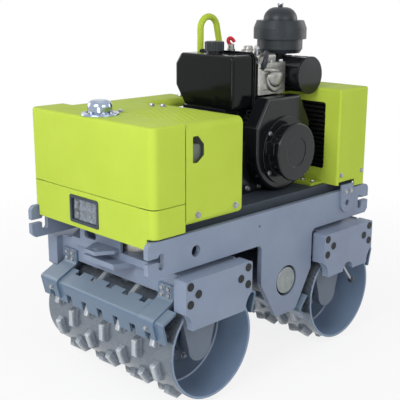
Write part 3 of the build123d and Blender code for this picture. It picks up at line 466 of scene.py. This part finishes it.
def addPiece(name, points, quads, finish, bodyName, slotName, smooth=True):
    # the mesh is cleaned and turned outwards, then rides on its body
    mesh = bpy.data.meshes.new(name)
    mesh.from_pydata(points.reshape(-1, 3).tolist(), [], quads.tolist())
    work = bmesh.new()
    work.from_mesh(mesh)
    bmesh.ops.remove_doubles(work, verts=work.verts, dist=meshStyle["merge"])
    bmesh.ops.dissolve_degenerate(work, edges=work.edges, dist=meshStyle["sliver"])
    bmesh.ops.recalc_face_normals(work, faces=work.faces)
    work.to_mesh(mesh)
    work.free()
    mesh.polygons.foreach_set("use_smooth", np.full(len(mesh.polygons), smooth))
    mesh.materials.append(finishes[finish])
    piece = bpy.data.objects.new(name, mesh)
    scene.collection.objects.link(piece)
    if smooth:
        mesh.set_sharp_from_angle(angle=np.radians(meshStyle["sharp"]))
    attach(piece, bodyName)
    return piece


def turned(profile, around, waves=1.0):
    # rows of radius and height turned about z; waves scales the radius round the turn
    rows = np.asarray(profile, float)
    angle = turnsOf(around)
    radius = rows[:, :1] * waves
    height = np.repeat(rows[:, 1:2], around, 1)
    points = np.stack([radius * np.cos(angle), radius * np.sin(angle), height], -1)
    return points, gridQuads(len(rows), around)


def dome(radius, height, rows, around, sink=0.0):
    # a quarter of an ellipse turned about z: cosine gives the radius, sine the height
    lift = np.linspace(0, np.pi / 2, rows)
    rim = np.append(radius * np.cos(lift)[:-1], 0.0)
    return turned(np.stack([rim, height * np.sin(lift) - sink], -1), around)


def axesFor(normals):
    # for each normal, a turn whose third column is that normal
    n = np.asarray(normals, float)
    n = n / np.linalg.norm(n, axis=1, keepdims=True)
    upright = np.abs(n[:, 2:3]) > 0.9
    helper = np.where(upright, np.array([[1.0, 0.0, 0.0]]), np.array([[0.0, 0.0, 1.0]]))
    a = np.cross(helper, n)
    a = a / np.linalg.norm(a, axis=1, keepdims=True)
    b = np.cross(n, a)
    return np.stack([a, b, n], -1)


def copiesAt(shape, places):
    # one shape set down at every place: a row is x y z and the way its top points
    points, quads = shape
    spots = np.asarray(places, float)
    flat = points.reshape(-1, 3)
    every = np.einsum("nij,vj->nvi", axesFor(spots[:, 3:6]), flat) + spots[:, None, :3]
    return every.reshape(-1, 3), repeatQuads(quads, len(spots), len(flat))


def placesOn(spots, way):
    # every spot with the same way up
    return np.c_[spots, np.tile(way, (len(spots), 1))]


def circleAt(middle, radius, y, turns):
    # a circle about an axis along y; the middle is its x and z
    return np.stack([middle[0] + radius * np.cos(turns), np.full(len(turns), y),
                     middle[1] + radius * np.sin(turns)], -1)


def bothSides(places):
    # the places and their mirror images across the middle of the machine
    p = np.asarray(places, float)
    return np.concatenate([p, p * [1, -1, 1, 1, -1, 1]])


def cubicCurve(handles, count):
    # from the first of four handles to the last, drawn towards the two between
    s = np.linspace(0, 1, count)[:, None]
    k = np.asarray(handles, float)
    return (1 - s) ** 3 * k[0] + 3 * s * (1 - s) ** 2 * k[1] + 3 * s ** 2 * (1 - s) * k[2] + s ** 3 * k[3]


barEnd = {"radius": 1e-7, "lead": 1e-4}  # the lead is a share of the first step


def roundBar(path, radius, around, closed=False, up=(0.0, 0.0, 1.0)):
    # a circle carried along a path, cosine to the path's side and sine to its top;
    # open ends are drawn in to a point just past the path
    p = np.asarray(path, float)
    r = np.broadcast_to(np.asarray(radius, float), (len(p),))
    if closed:
        run = np.roll(p, -1, 0) - np.roll(p, 1, 0)
    else:
        p = np.concatenate([p[:1], p, p[-1:]])
        p[0] += (p[0] - p[2]) * barEnd["lead"]
        p[-1] += (p[-1] - p[-3]) * barEnd["lead"]
        r = np.concatenate([[barEnd["radius"]], r, [barEnd["radius"]]])
        run = np.gradient(p, axis=0)
    run = run / np.linalg.norm(run, axis=1, keepdims=True)
    side = np.cross(run, np.asarray(up, float)[None])
    side = side / np.maximum(np.linalg.norm(side, axis=1, keepdims=True), 1e-9)
    top = np.cross(side, run)
    angle = turnsOf(around)
    ring = side[:, None] * np.cos(angle)[:, None] + top[:, None] * np.sin(angle)[:, None]
    return p[:, None] + r[:, None, None] * ring, gridQuads(len(p), around, closed)


# hex bolts with washers, all of one style at a scale for each set
boltStyle = {"flats": 0.017, "head": 0.0075, "washer": 0.0125, "washerThick": 0.0022, "sink": 0.002,
             "around": 24}


def hexBolt(style, scale):
    # a turned profile, washer then head, whose six-sided rows reach out to a hexagon:
    # half the flats over the cosine to the middle of the nearest flat
    half, w, t, sink = style["flats"] / 2, style["washer"], style["washerThick"], style["sink"]
    h = t + style["head"]
    rows = np.array([  # radius, height, and 1 where six-sided
        [0.0, -sink, 0], [w, -sink, 0], [w, t * 0.75, 0], [w * 0.94, t, 0], [half, t, 1],
        [half, h * 0.88, 1], [half * 0.94, h, 0], [half * 0.5, h, 0], [0.0, h, 0]])
    sixth = np.pi / 3
    hexagon = 1.0 / np.cos((turnsOf(style["around"]) + sixth / 2) % sixth - sixth / 2)
    return turned(rows[:, :2] * scale, style["around"], 1.0 + rows[:, 2:] * (hexagon - 1.0))


# four bolts on each scraper bracket and one through the bar, outward, across and up from the axle
bracketStyle = {"plate": 0.1283, "across": (0.228, 0.258), "up": (0.182, 0.203),
                "bar": (0.2098, 0.243, 0.098), "barWay": (0.974, 0, -0.228)}
plateBolts = [[bracketStyle["plate"], y, z, 1, 0, 0]
              for z in bracketStyle["up"] for y in bracketStyle["across"]]
scraperBolts = bothSides(plateBolts + [[*bracketStyle["bar"], *bracketStyle["barWay"]]])


def atAxle(places, axle, way):
    # the bolts of one scraper set down at an axle, looking forward or back
    p = np.asarray(places, float).copy()
    p[:, [0, 3]] *= way
    p[:, 0] += axle[0]
    p[:, 2] += axle[1]
    return p


starterStyle = {"crank": (-0.145, 0.737), "circle": 0.108, "face": 0.213, "turns": (38, 142, 218, 322)}
starterSpots = circleAt(starterStyle["crank"], starterStyle["circle"], starterStyle["face"],
                        np.radians(starterStyle["turns"]))
hubStyle = {"circle": 0.080, "face": 0.185, "count": 8}


def hubBolts(axle):
    # a ring of bolts about the axle on both webs of a drum
    spots = circleAt(axle, hubStyle["circle"], hubStyle["face"], turnsOf(hubStyle["count"]))
    return bothSides(placesOn(spots, (0, 1, 0)))


# each set: the body it rides on, its places and its scale
boltSets = {
    "front_bracket_bolts": ("front_yoke", np.concatenate([
        atAxle(scraperBolts, axles["front_drum"], 1), atAxle(scraperBolts, axles["front_drum"], -1)]), 0.75),
    "rear_bracket_bolts": ("chassis", atAxle(scraperBolts, axles["rear_drum"], -1), 0.75),
    "panel_bolts": ("chassis", np.concatenate([
        bothSides([[0.365, 0.300, 0.623, 0, 1, 0], [0.202, 0.300, 0.623, 0, 1, 0]]),
        [[0.207, -0.026, 0.897, 0, 0, 1], [0.385, -0.026, 0.897, 0, 0, 1],
         [0.207, -0.080, 0.894, 0, 0, 1], [0.385, -0.080, 0.894, 0, 0, 1],
         [-0.035, -0.200, 0.894, 0, 0, 1], [-0.035, -0.300, 0.640, 0, -1, 0]]]), 0.85),
    "engine_foot_bolts": ("chassis", np.array([
        [0.019, 0.09, 0.608, 0, 0, 1], [0.019, -0.09, 0.608, 0, 0, 1],
        [-0.279, 0.09, 0.608, 0, 0, 1], [-0.279, -0.09, 0.608, 0, 0, 1],
        [-0.02, 0.150, 0.612, 0, 1, 0], [-0.08, 0.150, 0.612, 0, 1, 0],
        [-0.24, 0.150, 0.612, 0, 1, 0]]), 0.8),
    "strap_bolts": ("chassis", bothSides([
        [-0.369, 0.310, 0.568, 0, 1, 0], [-0.399, 0.310, 0.568, 0, 1, 0]]), 0.8),
    "box_bolts": ("chassis", np.concatenate([
        bothSides([[-0.352, 0.300, 0.63, 0, 1, 0], [-0.478, 0.300, 0.63, 0, 1, 0]]),
        [[-0.30, 0.17, 0.602, 0, 0, 1], [-0.30, 0.215, 0.602, 0, 0, 1]]]), 0.7),
    "starter_bolts": ("chassis", placesOn(starterSpots, (0, 1, 0)), 0.65),
    "front_hub_bolts": ("front_drum", hubBolts(axles["front_drum"]), 0.9),
    "rear_hub_bolts": ("rear_drum", hubBolts(axles["rear_drum"]), 0.9),
}
for name, (bodyName, places, scale) in boltSets.items():
    shape = copiesAt(hexBolt(boltStyle, scale), places)
    addPiece(name, *shape, "zincFastener", bodyName, "bare_steel")
print("bolts,", sum(len(places) for _, places, _ in boltSets.values()))

# wide ring under the filler flange: a flat profile with a rounded rim, turned about z
ringStyle = {"centre": (0.480, -0.008, 0.901), "inner": 0.050, "outer": 0.0592, "thick": 0.0055,
             "round": 0.003, "sink": 0.0004, "around": 64}
lift = np.linspace(0, np.pi / 2, 5)
rim = np.stack([ringStyle["outer"] - ringStyle["round"] * (1 - np.cos(lift)),
                ringStyle["thick"] - ringStyle["round"] * (1 - np.sin(lift))], -1)
foot = [ringStyle["inner"], -ringStyle["sink"]]
profile = np.concatenate([[foot, [ringStyle["outer"], -ringStyle["sink"]]], rim,
                          [[ringStyle["inner"], ringStyle["thick"]], foot]])
ring = copiesAt(turned(profile, ringStyle["around"]), [[*ringStyle["centre"], 0, 0, 1]])
addPiece("filler_ring", *ring, "brightChrome", "chassis", "bright_chrome")

# slotted screws round the filler flange; the profile is in shares of radius and height
screwStyle = {"radius": 0.0055, "height": 0.003, "circle": 0.0445, "count": 6,
              "centre": (0.480, -0.008, 0.907), "around": 18}
screwProfile = [[0.0, -0.001], [1.0, -0.001], [1.0, 0.5], [0.8, 0.9], [0.35, 1.0], [0.3, 0.55], [0.0, 0.5]]
screw = turned(np.array(screwProfile) * [screwStyle["radius"], screwStyle["height"]], screwStyle["around"])
turns = turnsOf(screwStyle["count"])
spots = screwStyle["circle"] * np.stack([np.cos(turns), np.sin(turns), 0 * turns], -1) + screwStyle["centre"]
screws = copiesAt(screw, placesOn(spots, (0, 0, 1)))
addPiece("filler_screws", *screws, "zincFastener", "chassis", "bare_steel")

# anti-slip studs on the left panel top: low domes in staggered rows
studStyle = {"x": (0.195, 0.395), "y": (-0.005, 0.262), "top": 0.897, "step": 0.021, "rowShare": 0.866,
             "radius": 0.0062, "height": 0.0016, "sink": 0.0002, "rows": 4, "around": 10}
xs = np.arange(*studStyle["x"], studStyle["step"])
ys = np.arange(*studStyle["y"], studStyle["step"] * studStyle["rowShare"])
gx, gy = np.meshgrid(xs, ys, indexing="ij")
gx = gx + (np.arange(len(ys)) % 2)[None] * studStyle["step"] / 2
spots = np.c_[gx.ravel(), gy.ravel(), np.full(gx.size, studStyle["top"])]
stud = dome(*(studStyle[key] for key in ("radius", "height", "rows", "around", "sink")))
studs = copiesAt(stud, placesOn(spots, (0, 0, 1)))
addPiece("grip_studs", *studs, "coverGreen", "chassis", "cover_green")
print("grip studs,", gx.size)

# lamp: mirror cells with a light chip each, behind a thin bowed glass
lampStyle = {"y": -0.024, "z": 0.603, "width": 0.126, "height": 0.070, "columns": 4, "rows": 2,
             "back": 0.5268, "front": 0.533, "bowl": 0.62, "cellGrid": 9,
             "chip": 0.0034, "chipLift": 0.0003, "chipRows": 6, "chipAround": 14,
             "glassBack": 0.5352, "glassFront": 0.5372, "bow": 0.0016, "glassGrid": 13}
cellW = lampStyle["width"] / lampStyle["columns"]
cellH = lampStyle["height"] / lampStyle["rows"]


def mirrorCell(style):
    # a bowl over a rectangle: its depth times a share of the two sides' squares, at most all of it
    u, v, quads = squareGrid(style["cellGrid"])
    depth = style["front"] - style["back"]
    x = depth * np.minimum((u ** 2 + v ** 2) * style["bowl"], 1.0)
    return np.stack([x, u * cellW / 2, v * cellH / 2], -1), quads


ys = lampStyle["y"] + (np.arange(lampStyle["columns"]) - (lampStyle["columns"] - 1) / 2) * cellW
zs = lampStyle["z"] + (np.arange(lampStyle["rows"]) - (lampStyle["rows"] - 1) / 2) * cellH
gy, gz = np.meshgrid(ys, zs, indexing="ij")
middles = np.stack([np.full(gy.size, lampStyle["back"]), gy.ravel(), gz.ravel()], -1)
cell, quads = mirrorCell(lampStyle)
points = cell.reshape(1, -1, 3) + middles[:, None]
quads = repeatQuads(quads, len(middles), lampStyle["cellGrid"] ** 2)
addPiece("lamp_mirrors", points, quads, "lampMirror", "chassis", "bright_chrome")
chip = dome(lampStyle["chip"], lampStyle["chip"], lampStyle["chipRows"], lampStyle["chipAround"])
places = placesOn(middles + [lampStyle["chipLift"], 0, 0], (1, 0, 0))
addPiece("lamp_chips", *copiesAt(chip, places), "chipCream", "chassis", "lamp_glass")


def bowedGlass(style):
    # two skins over a rectangle, the front one bowed out by a cosine each way; joined at the rim
    count = style["glassGrid"]
    u, v, quads = squareGrid(count)
    y = style["y"] + u * style["width"] / 2
    z = style["z"] + v * style["height"] / 2
    bow = style["bow"] * np.cos(u * np.pi / 2) * np.cos(v * np.pi / 2)
    front = np.stack([style["glassFront"] + bow, y, z], -1)
    back = np.stack([np.full_like(y, style["glassBack"]), y, z], -1)
    n = count * count
    k = np.arange(count - 1)
    low = np.stack([k, k + 1], -1)
    edges = np.concatenate([low, low + n - count, low * count, low * count + count - 1])
    rim = np.concatenate([edges, edges[:, ::-1] + n], 1)
    points = np.concatenate([front.reshape(-1, 3), back.reshape(-1, 3)])
    return points, np.concatenate([quads, quads[:, ::-1] + n, rim])


lens = addPiece("lamp_glass_pane", *bowedGlass(lampStyle), "lampGlass", "chassis", "lamp_glass")
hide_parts("lamp_lens")
print("lamp done")

# milky level window on the tank, seen through the slot of the left panel
sightStyle = {"x": 0.361, "z": 0.780, "half": (0.034, 0.054), "face": 0.279, "square": 5.0, "around": 64}
# its outline's share and how far behind the face, from the tank's wall to the middle
sightRows = np.array([[1.0, 0.0595], [1.0, 0.008], [0.985, 0.0035], [0.95, 0.001], [0.86, 0.0004],
                      [0.5, 0.0001], [0.0, 0.0]])
turns = turnsOf(sightStyle["around"])
c, d = np.cos(turns), np.sin(turns)
# a squared-off oval: the two sides to a power sum to one
oval = (np.abs(c) ** sightStyle["square"] + np.abs(d) ** sightStyle["square"]) ** (-1 / sightStyle["square"])
share = sightRows[:, :1] * oval
y = np.repeat(sightStyle["face"] - sightRows[:, 1:], sightStyle["around"], 1)
points = np.stack([sightStyle["x"] + share * c * sightStyle["half"][0], y,
                   sightStyle["z"] + share * d * sightStyle["half"][1]], -1)
quads = gridQuads(len(sightRows), sightStyle["around"])
addPiece("level_window", points, quads, "milkyTank", "chassis", "tank_grey")

# black seal rings round the exciter covers: round bars on a circle, one on each side
sealStyle = {"centre": (-0.0595, 0.308), "ring": 0.0505, "bar": 0.0032, "y": 0.290,
             "around": 72, "barAround": 10}
turns = turnsOf(sealStyle["around"])
rings = []
for side in (1, -1):
    path = circleAt(sealStyle["centre"], sealStyle["ring"], side * sealStyle["y"], turns)
    rings.append(roundBar(path, sealStyle["bar"], sealStyle["barAround"], True, (0, 1, 0)))
addPiece("cover_seals", *joined(rings), "mountRubber", "chassis", "rubber_black")

# wing nut on the air cleaner: two flat ellipsoids that lean apart
nutStyle = {"at": (-0.284, 0.057, 1.211), "wing": (0.0105, 0.0028, 0.0065), "lift": 0.0065, "spread": 0.0085,
            "lean": 0.6, "rows": 9, "around": 16}
rise = np.linspace(-np.pi / 2, np.pi / 2, nutStyle["rows"])
a, b = np.meshgrid(rise, turnsOf(nutStyle["around"]), indexing="ij")
wing = np.stack([np.cos(a) * np.cos(b), np.cos(a) * np.sin(b), np.sin(a)], -1) * nutStyle["wing"]
wings = []
for side in (1, -1):
    lean = np.array(Matrix.Rotation(-side * nutStyle["lean"], 3, "Y"))
    middle = np.array(nutStyle["at"]) + [side * nutStyle["spread"], 0, nutStyle["lift"]]
    wings.append((wing @ lean.T + middle, gridQuads(nutStyle["rows"], nutStyle["around"])))
addPiece("wing_nut", *joined(wings), "zincFastener", "chassis", "bare_steel")

# decompression lever: turned base and a hooked red lever, its handles so far across and up from the base
leverStyle = {"at": (-0.100, -0.009, 1.056), "across": (-0.707, 0.707, 0.0), "thick": 0.0058, "swell": 0.001,
              "handles": ((0.0, 0.028), (-0.021, 0.042), (-0.004, 0.067), (0.012, 0.038)),
              "steps": 28, "barAround": 12, "baseAround": 24}
leverBase = [[0.0, 0.0], [0.0145, 0.0], [0.0145, 0.014], [0.0125, 0.016], [0.0115, 0.017], [0.0115, 0.030],
             [0.009, 0.032], [0.0, 0.032]]
base = copiesAt(turned(leverBase, leverStyle["baseAround"]), [[*leverStyle["at"], 0, 0, 1]])
addPiece("lever_base", *base, "castAluminium", "chassis", "bare_aluminium")
across = np.array(leverStyle["across"])
handles = [np.array(leverStyle["at"]) + out * across + [0, 0, up] for out, up in leverStyle["handles"]]
path = cubicCurve(handles, leverStyle["steps"])
radius = leverStyle["thick"] + leverStyle["swell"] * np.sin(np.linspace(0, np.pi, leverStyle["steps"]))
lever = roundBar(path, radius, leverStyle["barAround"], False, (1, 1, 0))
addPiece("decompression_lever", *lever, "leverRed", "chassis", "lever_black")

# bright sleeve on the lock lever: a straight round bar
sleeveStyle = {"top": (-0.3335, 0.336, 0.3085), "low": (-0.3885, 0.336, 0.2405), "radius": 0.0046,
               "steps": 8, "around": 14}
path = np.linspace(sleeveStyle["top"], sleeveStyle["low"], sleeveStyle["steps"])
sleeve = roundBar(path, sleeveStyle["radius"], sleeveStyle["around"], False, (0, 1, 0))
addPiece("lever_sleeve", *sleeve, "zincFastener", "chassis", "bare_steel")

# head fittings: stud nuts, rocker cap and injector, then the cast swell on the left face
headStyle = {"top": 1.030, "cover": 1.058, "nutX": (-0.203, -0.084), "nutY": (-0.074, 0.030, 0.132),
             "oddNut": (-0.140, 0.136), "nutScale": 0.8, "capAt": (-0.115, 0.058), "capAround": 32,
             "injectorAt": (-0.108, 0.103), "injectorAround": 20}
nuts = [[x, y, headStyle["top"]] for x in headStyle["nutX"] for y in headStyle["nutY"]]
nuts.append([*headStyle["oddNut"], headStyle["top"]])
shape = copiesAt(hexBolt(boltStyle, headStyle["nutScale"]), placesOn(np.array(nuts), (0, 0, 1)))
addPiece("head_nuts", *shape, "zincFastener", "chassis", "bare_steel")
# radius and height up from the cover
capProfile = [[0.0, -0.002], [0.024, -0.002], [0.024, 0.010], [0.022, 0.013], [0.016, 0.015], [0.015, 0.024],
              [0.013, 0.026], [0.0, 0.026]]
shape = copiesAt(turned(capProfile, headStyle["capAround"]),
                 [[*headStyle["capAt"], headStyle["cover"], 0, 0, 1]])
addPiece("rocker_cap", *shape, "castAluminium", "chassis", "bare_aluminium")
injectorProfile = [[0.0, -0.002], [0.011, -0.002], [0.011, 0.008], [0.007, 0.009], [0.007, 0.016],
                   [0.009, 0.017], [0.009, 0.024], [0.005, 0.029], [0.0, 0.029]]
shape = copiesAt(turned(injectorProfile, headStyle["injectorAround"]),
                 [[*headStyle["injectorAt"], headStyle["cover"], 0, 0, 1]])
addPiece("injector", *shape, "zincFastener", "chassis", "bare_steel")
swellStyle = {"x": -0.150, "face": 0.154, "z": 0.988, "size": (0.041, 0.015, 0.041), "topShare": 0.35,
              "rows": 12, "around": 48}
# half of an ellipsoid standing out of the face, flattened above its middle
rise = np.linspace(0, np.pi / 2, swellStyle["rows"])
a, b = np.meshgrid(rise, turnsOf(swellStyle["around"]), indexing="ij")
up = np.sin(a) * np.sin(b)
up = np.where(up > 0, swellStyle["topShare"] * up, up)
swell = np.stack([np.sin(a) * np.cos(b), np.cos(a), up], -1) * swellStyle["size"]
swell = swell + [swellStyle["x"], swellStyle["face"], swellStyle["z"]]
quads = gridQuads(swellStyle["rows"], swellStyle["around"])
addPiece("head_swell", swell, quads, "castAluminium", "chassis", "bare_aluminium")

# pipes on the head: four handles of a cubic curve, radius, finish and slot
pipeStyle = {"steps": 40, "around": 12, "up": (0, 1, 0.2)}
pipeRuns = {
    "injection_pipe": ([[-0.068, 0.112, 0.94], [-0.066, 0.116, 1.035], [-0.085, 0.110, 1.094],
                        [-0.108, 0.103, 1.085]], 0.0032, "machinedSteel", "bare_steel"),
    "head_ridge": ([[-0.092, 0.147, 1.010], [-0.110, 0.154, 1.010], [-0.150, 0.158, 1.004],
                    [-0.176, 0.149, 0.998]], 0.006, "castAluminium", "bare_aluminium"),
    "breather_elbow": ([[-0.090, 0.146, 1.016], [-0.086, 0.170, 1.040], [-0.100, 0.150, 1.072],
                        [-0.150, 0.112, 1.060]], 0.0095, "mouldedBlack", "engine_plastic"),
}
for name, (handles, radius, finish, slotName) in pipeRuns.items():
    path = cubicCurve(handles, pipeStyle["steps"])
    pipe = roundBar(path, radius, pipeStyle["around"], False, pipeStyle["up"])
    addPiece(name, *pipe, finish, "chassis", slotName)
print("engine fittings done")

# cooler fins: a zigzag sheet in every row between the tubes
finStyle = {"front": -0.3385, "back": -0.3475, "y": (-0.150, 0.235), "low": 0.648, "high": 0.886, "rows": 15,
            "tube": 0.008, "step": 0.0055, "swing": 0.48}
rowPitch = (finStyle["high"] - finStyle["low"]) / finStyle["rows"]
gap = rowPitch - finStyle["tube"]
folds = int((finStyle["y"][1] - finStyle["y"][0]) / finStyle["step"])
zig = gap / 2 + gap * finStyle["swing"] * np.where(np.arange(folds) % 2 == 0, 1.0, -1.0)
z = finStyle["low"] + np.arange(finStyle["rows"])[:, None] * rowPitch + zig[None]
y = np.repeat(np.linspace(*finStyle["y"], folds)[None], finStyle["rows"], 0)
sheet = np.stack([np.stack([np.full_like(z, x), y, z], -1)
                  for x in (finStyle["front"], finStyle["back"])], 1)
quads = repeatQuads(gridQuads(2, folds, False, False), finStyle["rows"], 2 * folds)
addPiece("cooler_fins", sheet, quads, "finMetal", "chassis", "cooler_black", False)

# weld beads: a small round bead with a ripple along the run
weldStyle = {"radius": 0.0034, "ripple": 0.22, "pitch": 0.0045, "perRipple": 3, "fewest": 8, "around": 7}
seams = {"webRadius": 0.1665, "webFace": 0.1775, "webSteps": 120,
         "crossOut": 0.1205, "crossHalf": 0.295, "crossTop": 0.4465,
         "weightHalf": 0.070, "weightAcross": 0.262, "weightLow": 0.2868,
         "plateInside": 0.2835, "frameTop": 0.5248, "frameRuns": ((0.153, 0.479), (-0.514, -0.188))}
upright, sideways = (0, 0, 1), (0, 1, 0)


def weldRun(path, closed, up):
    # resample the path evenly, then swell the bead by a sine of the length run
    p = np.asarray(path, float)
    if closed:
        p = np.concatenate([p, p[:1]])
    along = np.concatenate([[0.0], np.cumsum(np.linalg.norm(np.diff(p, axis=0), axis=1))])
    count = max(int(along[-1] / weldStyle["pitch"] * weldStyle["perRipple"]), weldStyle["fewest"])
    spots = np.linspace(0, along[-1], count, endpoint=not closed)
    even = np.stack([np.interp(spots, along, p[:, k]) for k in range(3)], -1)
    wave = np.sin(spots / weldStyle["pitch"] * 2 * np.pi)
    radius = weldStyle["radius"] * (1 + weldStyle["ripple"] * wave)
    return roundBar(even, radius, weldStyle["around"], closed, up)


def weldSet(name, runs, bodyName, finish="frameGrey"):
    # runs of one seam as one piece: a run is its path, whether it closes, and its way up
    addPiece(name, *joined([weldRun(*run) for run in runs]), finish, bodyName, "frame_paint")


for end, bodyName in (("front", "front_yoke"), ("rear", "chassis")):
    axle = axles[end + "_drum"]
    runs = []
    for side, hand in ((1, "left"), (-1, "right")):
        web = circleAt(axle, seams["webRadius"], side * seams["webFace"], turnsOf(seams["webSteps"]))
        # the web welds get the paler bead paint: a painted highlight
        weldSet(f"{end}_web_weld_{hand}", [(web, True, sideways)], end + "_drum", "beadGrey")
        # along the cross plate, then where the arm meets the weight
        crossX = axle[0] + side * seams["crossOut"]
        runs.append(([[crossX, y, seams["crossTop"]] for y in (-seams["crossHalf"], seams["crossHalf"])],
                     False, upright))
        runs.append(([[axle[0] + x, side * seams["weightAcross"], seams["weightLow"]]
                      for x in (-seams["weightHalf"], seams["weightHalf"])], False, upright))
    weldSet(end + "_yoke_welds", runs, bodyName)
runs = [([[x, side * seams["plateInside"], seams["frameTop"]] for x in ends], False, upright)
        for side in (1, -1) for ends in seams["frameRuns"]]
weldSet("frame_welds", runs, "chassis")
print("welds done")

# stage: a pale floor that turns plain white far off, and a white world
stageLook = {"floor": (0.80, 0.80, 0.80), "half": 30, "whiteShare": 0.84, "fade": (0.9, 2.6),
             "worldStrength": 0.38}
pureWhite = (1.0, 1.0, 1.0, 1.0)


def seenDirectly(tree):
    # 1 for rays from the camera, from mirrors and through glass
    path = tree.nodes.new("ShaderNodeLightPath")
    first = mathOf(tree, "MAXIMUM", path.outputs["Is Camera Ray"], path.outputs["Is Glossy Ray"])
    return mathOf(tree, "MAXIMUM", first, path.outputs["Is Transmission Ray"])


def glowOf(tree, kind, strength):
    # plain white light from a surface or from the world
    node = tree.nodes.new(kind)
    node.inputs["Color"].default_value = pureWhite
    node.inputs["Strength"].default_value = strength
    return node.outputs[0]


def mixShaders(tree, factor, first, second, out):
    # the first where the factor is 0, the second where it is 1
    mix = tree.nodes.new("ShaderNodeMixShader")
    tree.links.new(factor, mix.inputs["Fac"])
    tree.links.new(first, mix.inputs[1])
    tree.links.new(second, mix.inputs[2])
    tree.links.new(mix.outputs[0], out.inputs["Surface"])


def floorMaterial():
    # matt with a share of white, which grows to all of it with the distance from the machine
    mat = bpy.data.materials.new("paleFloor")
    mat.use_nodes = True
    tree = mat.node_tree
    tree.nodes.clear()
    out = tree.nodes.new("ShaderNodeOutputMaterial")
    matt = tree.nodes.new("ShaderNodeBsdfDiffuse")
    matt.inputs["Color"].default_value = (*stageLook["floor"], 1.0)
    far = tree.nodes.new("ShaderNodeVectorMath")
    far.operation = "LENGTH"
    tree.links.new(tree.nodes.new("ShaderNodeTexCoord").outputs["Object"], far.inputs[0])
    share = rangeOf(tree, far.outputs["Value"], *stageLook["fade"], stageLook["whiteShare"], 1.0)
    factor = mathOf(tree, "MULTIPLY", seenDirectly(tree), share)
    mixShaders(tree, factor, matt.outputs[0], glowOf(tree, "ShaderNodeEmission", 1.0), out)
    return mat


half = stageLook["half"]
floorMesh = bpy.data.meshes.new("floor")
corners = [(-half, -half, 0), (half, -half, 0), (half, half, 0), (-half, half, 0)]
floorMesh.from_pydata(corners, [], [(0, 1, 2, 3)])
floorMesh.materials.append(floorMaterial())
floor = bpy.data.objects.new("floor", floorMesh)
scene.collection.objects.link(floor)

world = bpy.data.worlds.new("studio")
scene.world = world
world.use_nodes = True
tree = world.node_tree
tree.nodes.clear()
out = tree.nodes.new("ShaderNodeOutputWorld")
plain = glowOf(tree, "ShaderNodeBackground", stageLook["worldStrength"])
mixShaders(tree, seenDirectly(tree), plain, glowOf(tree, "ShaderNodeBackground", 1.0), out)

# round lamps, all aimed at the middle of the machine
lamps = {
    "keyLight": dict(at=(3.0, 0.6, 2.35), size=2.0, watts=68.0),
    "sideLight": dict(at=(0.5, 3.4, 2.10), size=2.2, watts=36.0),
    "lowLight": dict(at=(2.6, 1.7, 0.32), size=1.2, watts=15.0),
    "topLight": dict(at=(-0.3, -0.4, 3.8), size=2.4, watts=4.0),
    "rearLight": dict(at=(-3.5, 1.3, 1.6), size=2.4, watts=34.0),
    "rightLight": dict(at=(1.3, -3.5, 1.6), size=2.4, watts=34.0),
}
aim = Vector((0.0, 0.0, 0.55))
for name, lamp in lamps.items():
    data = bpy.data.lights.new(name, "AREA")
    data.shape = "DISK"
    data.size = lamp["size"]
    data.energy = lamp["watts"]
    light = bpy.data.objects.new(name, data)
    light.location = lamp["at"]
    light.rotation_euler = (aim - Vector(lamp["at"])).to_track_quat("-Z", "Y").to_euler()
    scene.collection.objects.link(light)

# the photograph's view: angles in degrees, lens and sensor in millimetres
cameraLook = {"at": (1.9804, 1.9397, 1.2659), "yaw": 45.27, "pitch": 14.55, "roll": 0.15,
              "lens": 72.52, "sensor": 36.0, "far": 100.0}
yaw, pitch, roll = np.radians([cameraLook["yaw"], cameraLook["pitch"], cameraLook["roll"]])
back = Vector((np.cos(yaw) * np.cos(pitch), np.sin(yaw) * np.cos(pitch), np.sin(pitch)))
camData = bpy.data.cameras.new("photoView")
camData.lens = cameraLook["lens"]
camData.sensor_width = cameraLook["sensor"]
camData.clip_end = cameraLook["far"]
camera = bpy.data.objects.new("photoView", camData)
turnTo = (-back).to_track_quat("-Z", "Y").to_matrix().to_4x4()
camera.matrix_world = Matrix.Translation(cameraLook["at"]) @ turnTo @ Matrix.Rotation(roll, 4, "Z")
scene.collection.objects.link(camera)
scene.camera = camera
scene.view_settings.view_transform = "Standard"
print("stage, light and camera done")
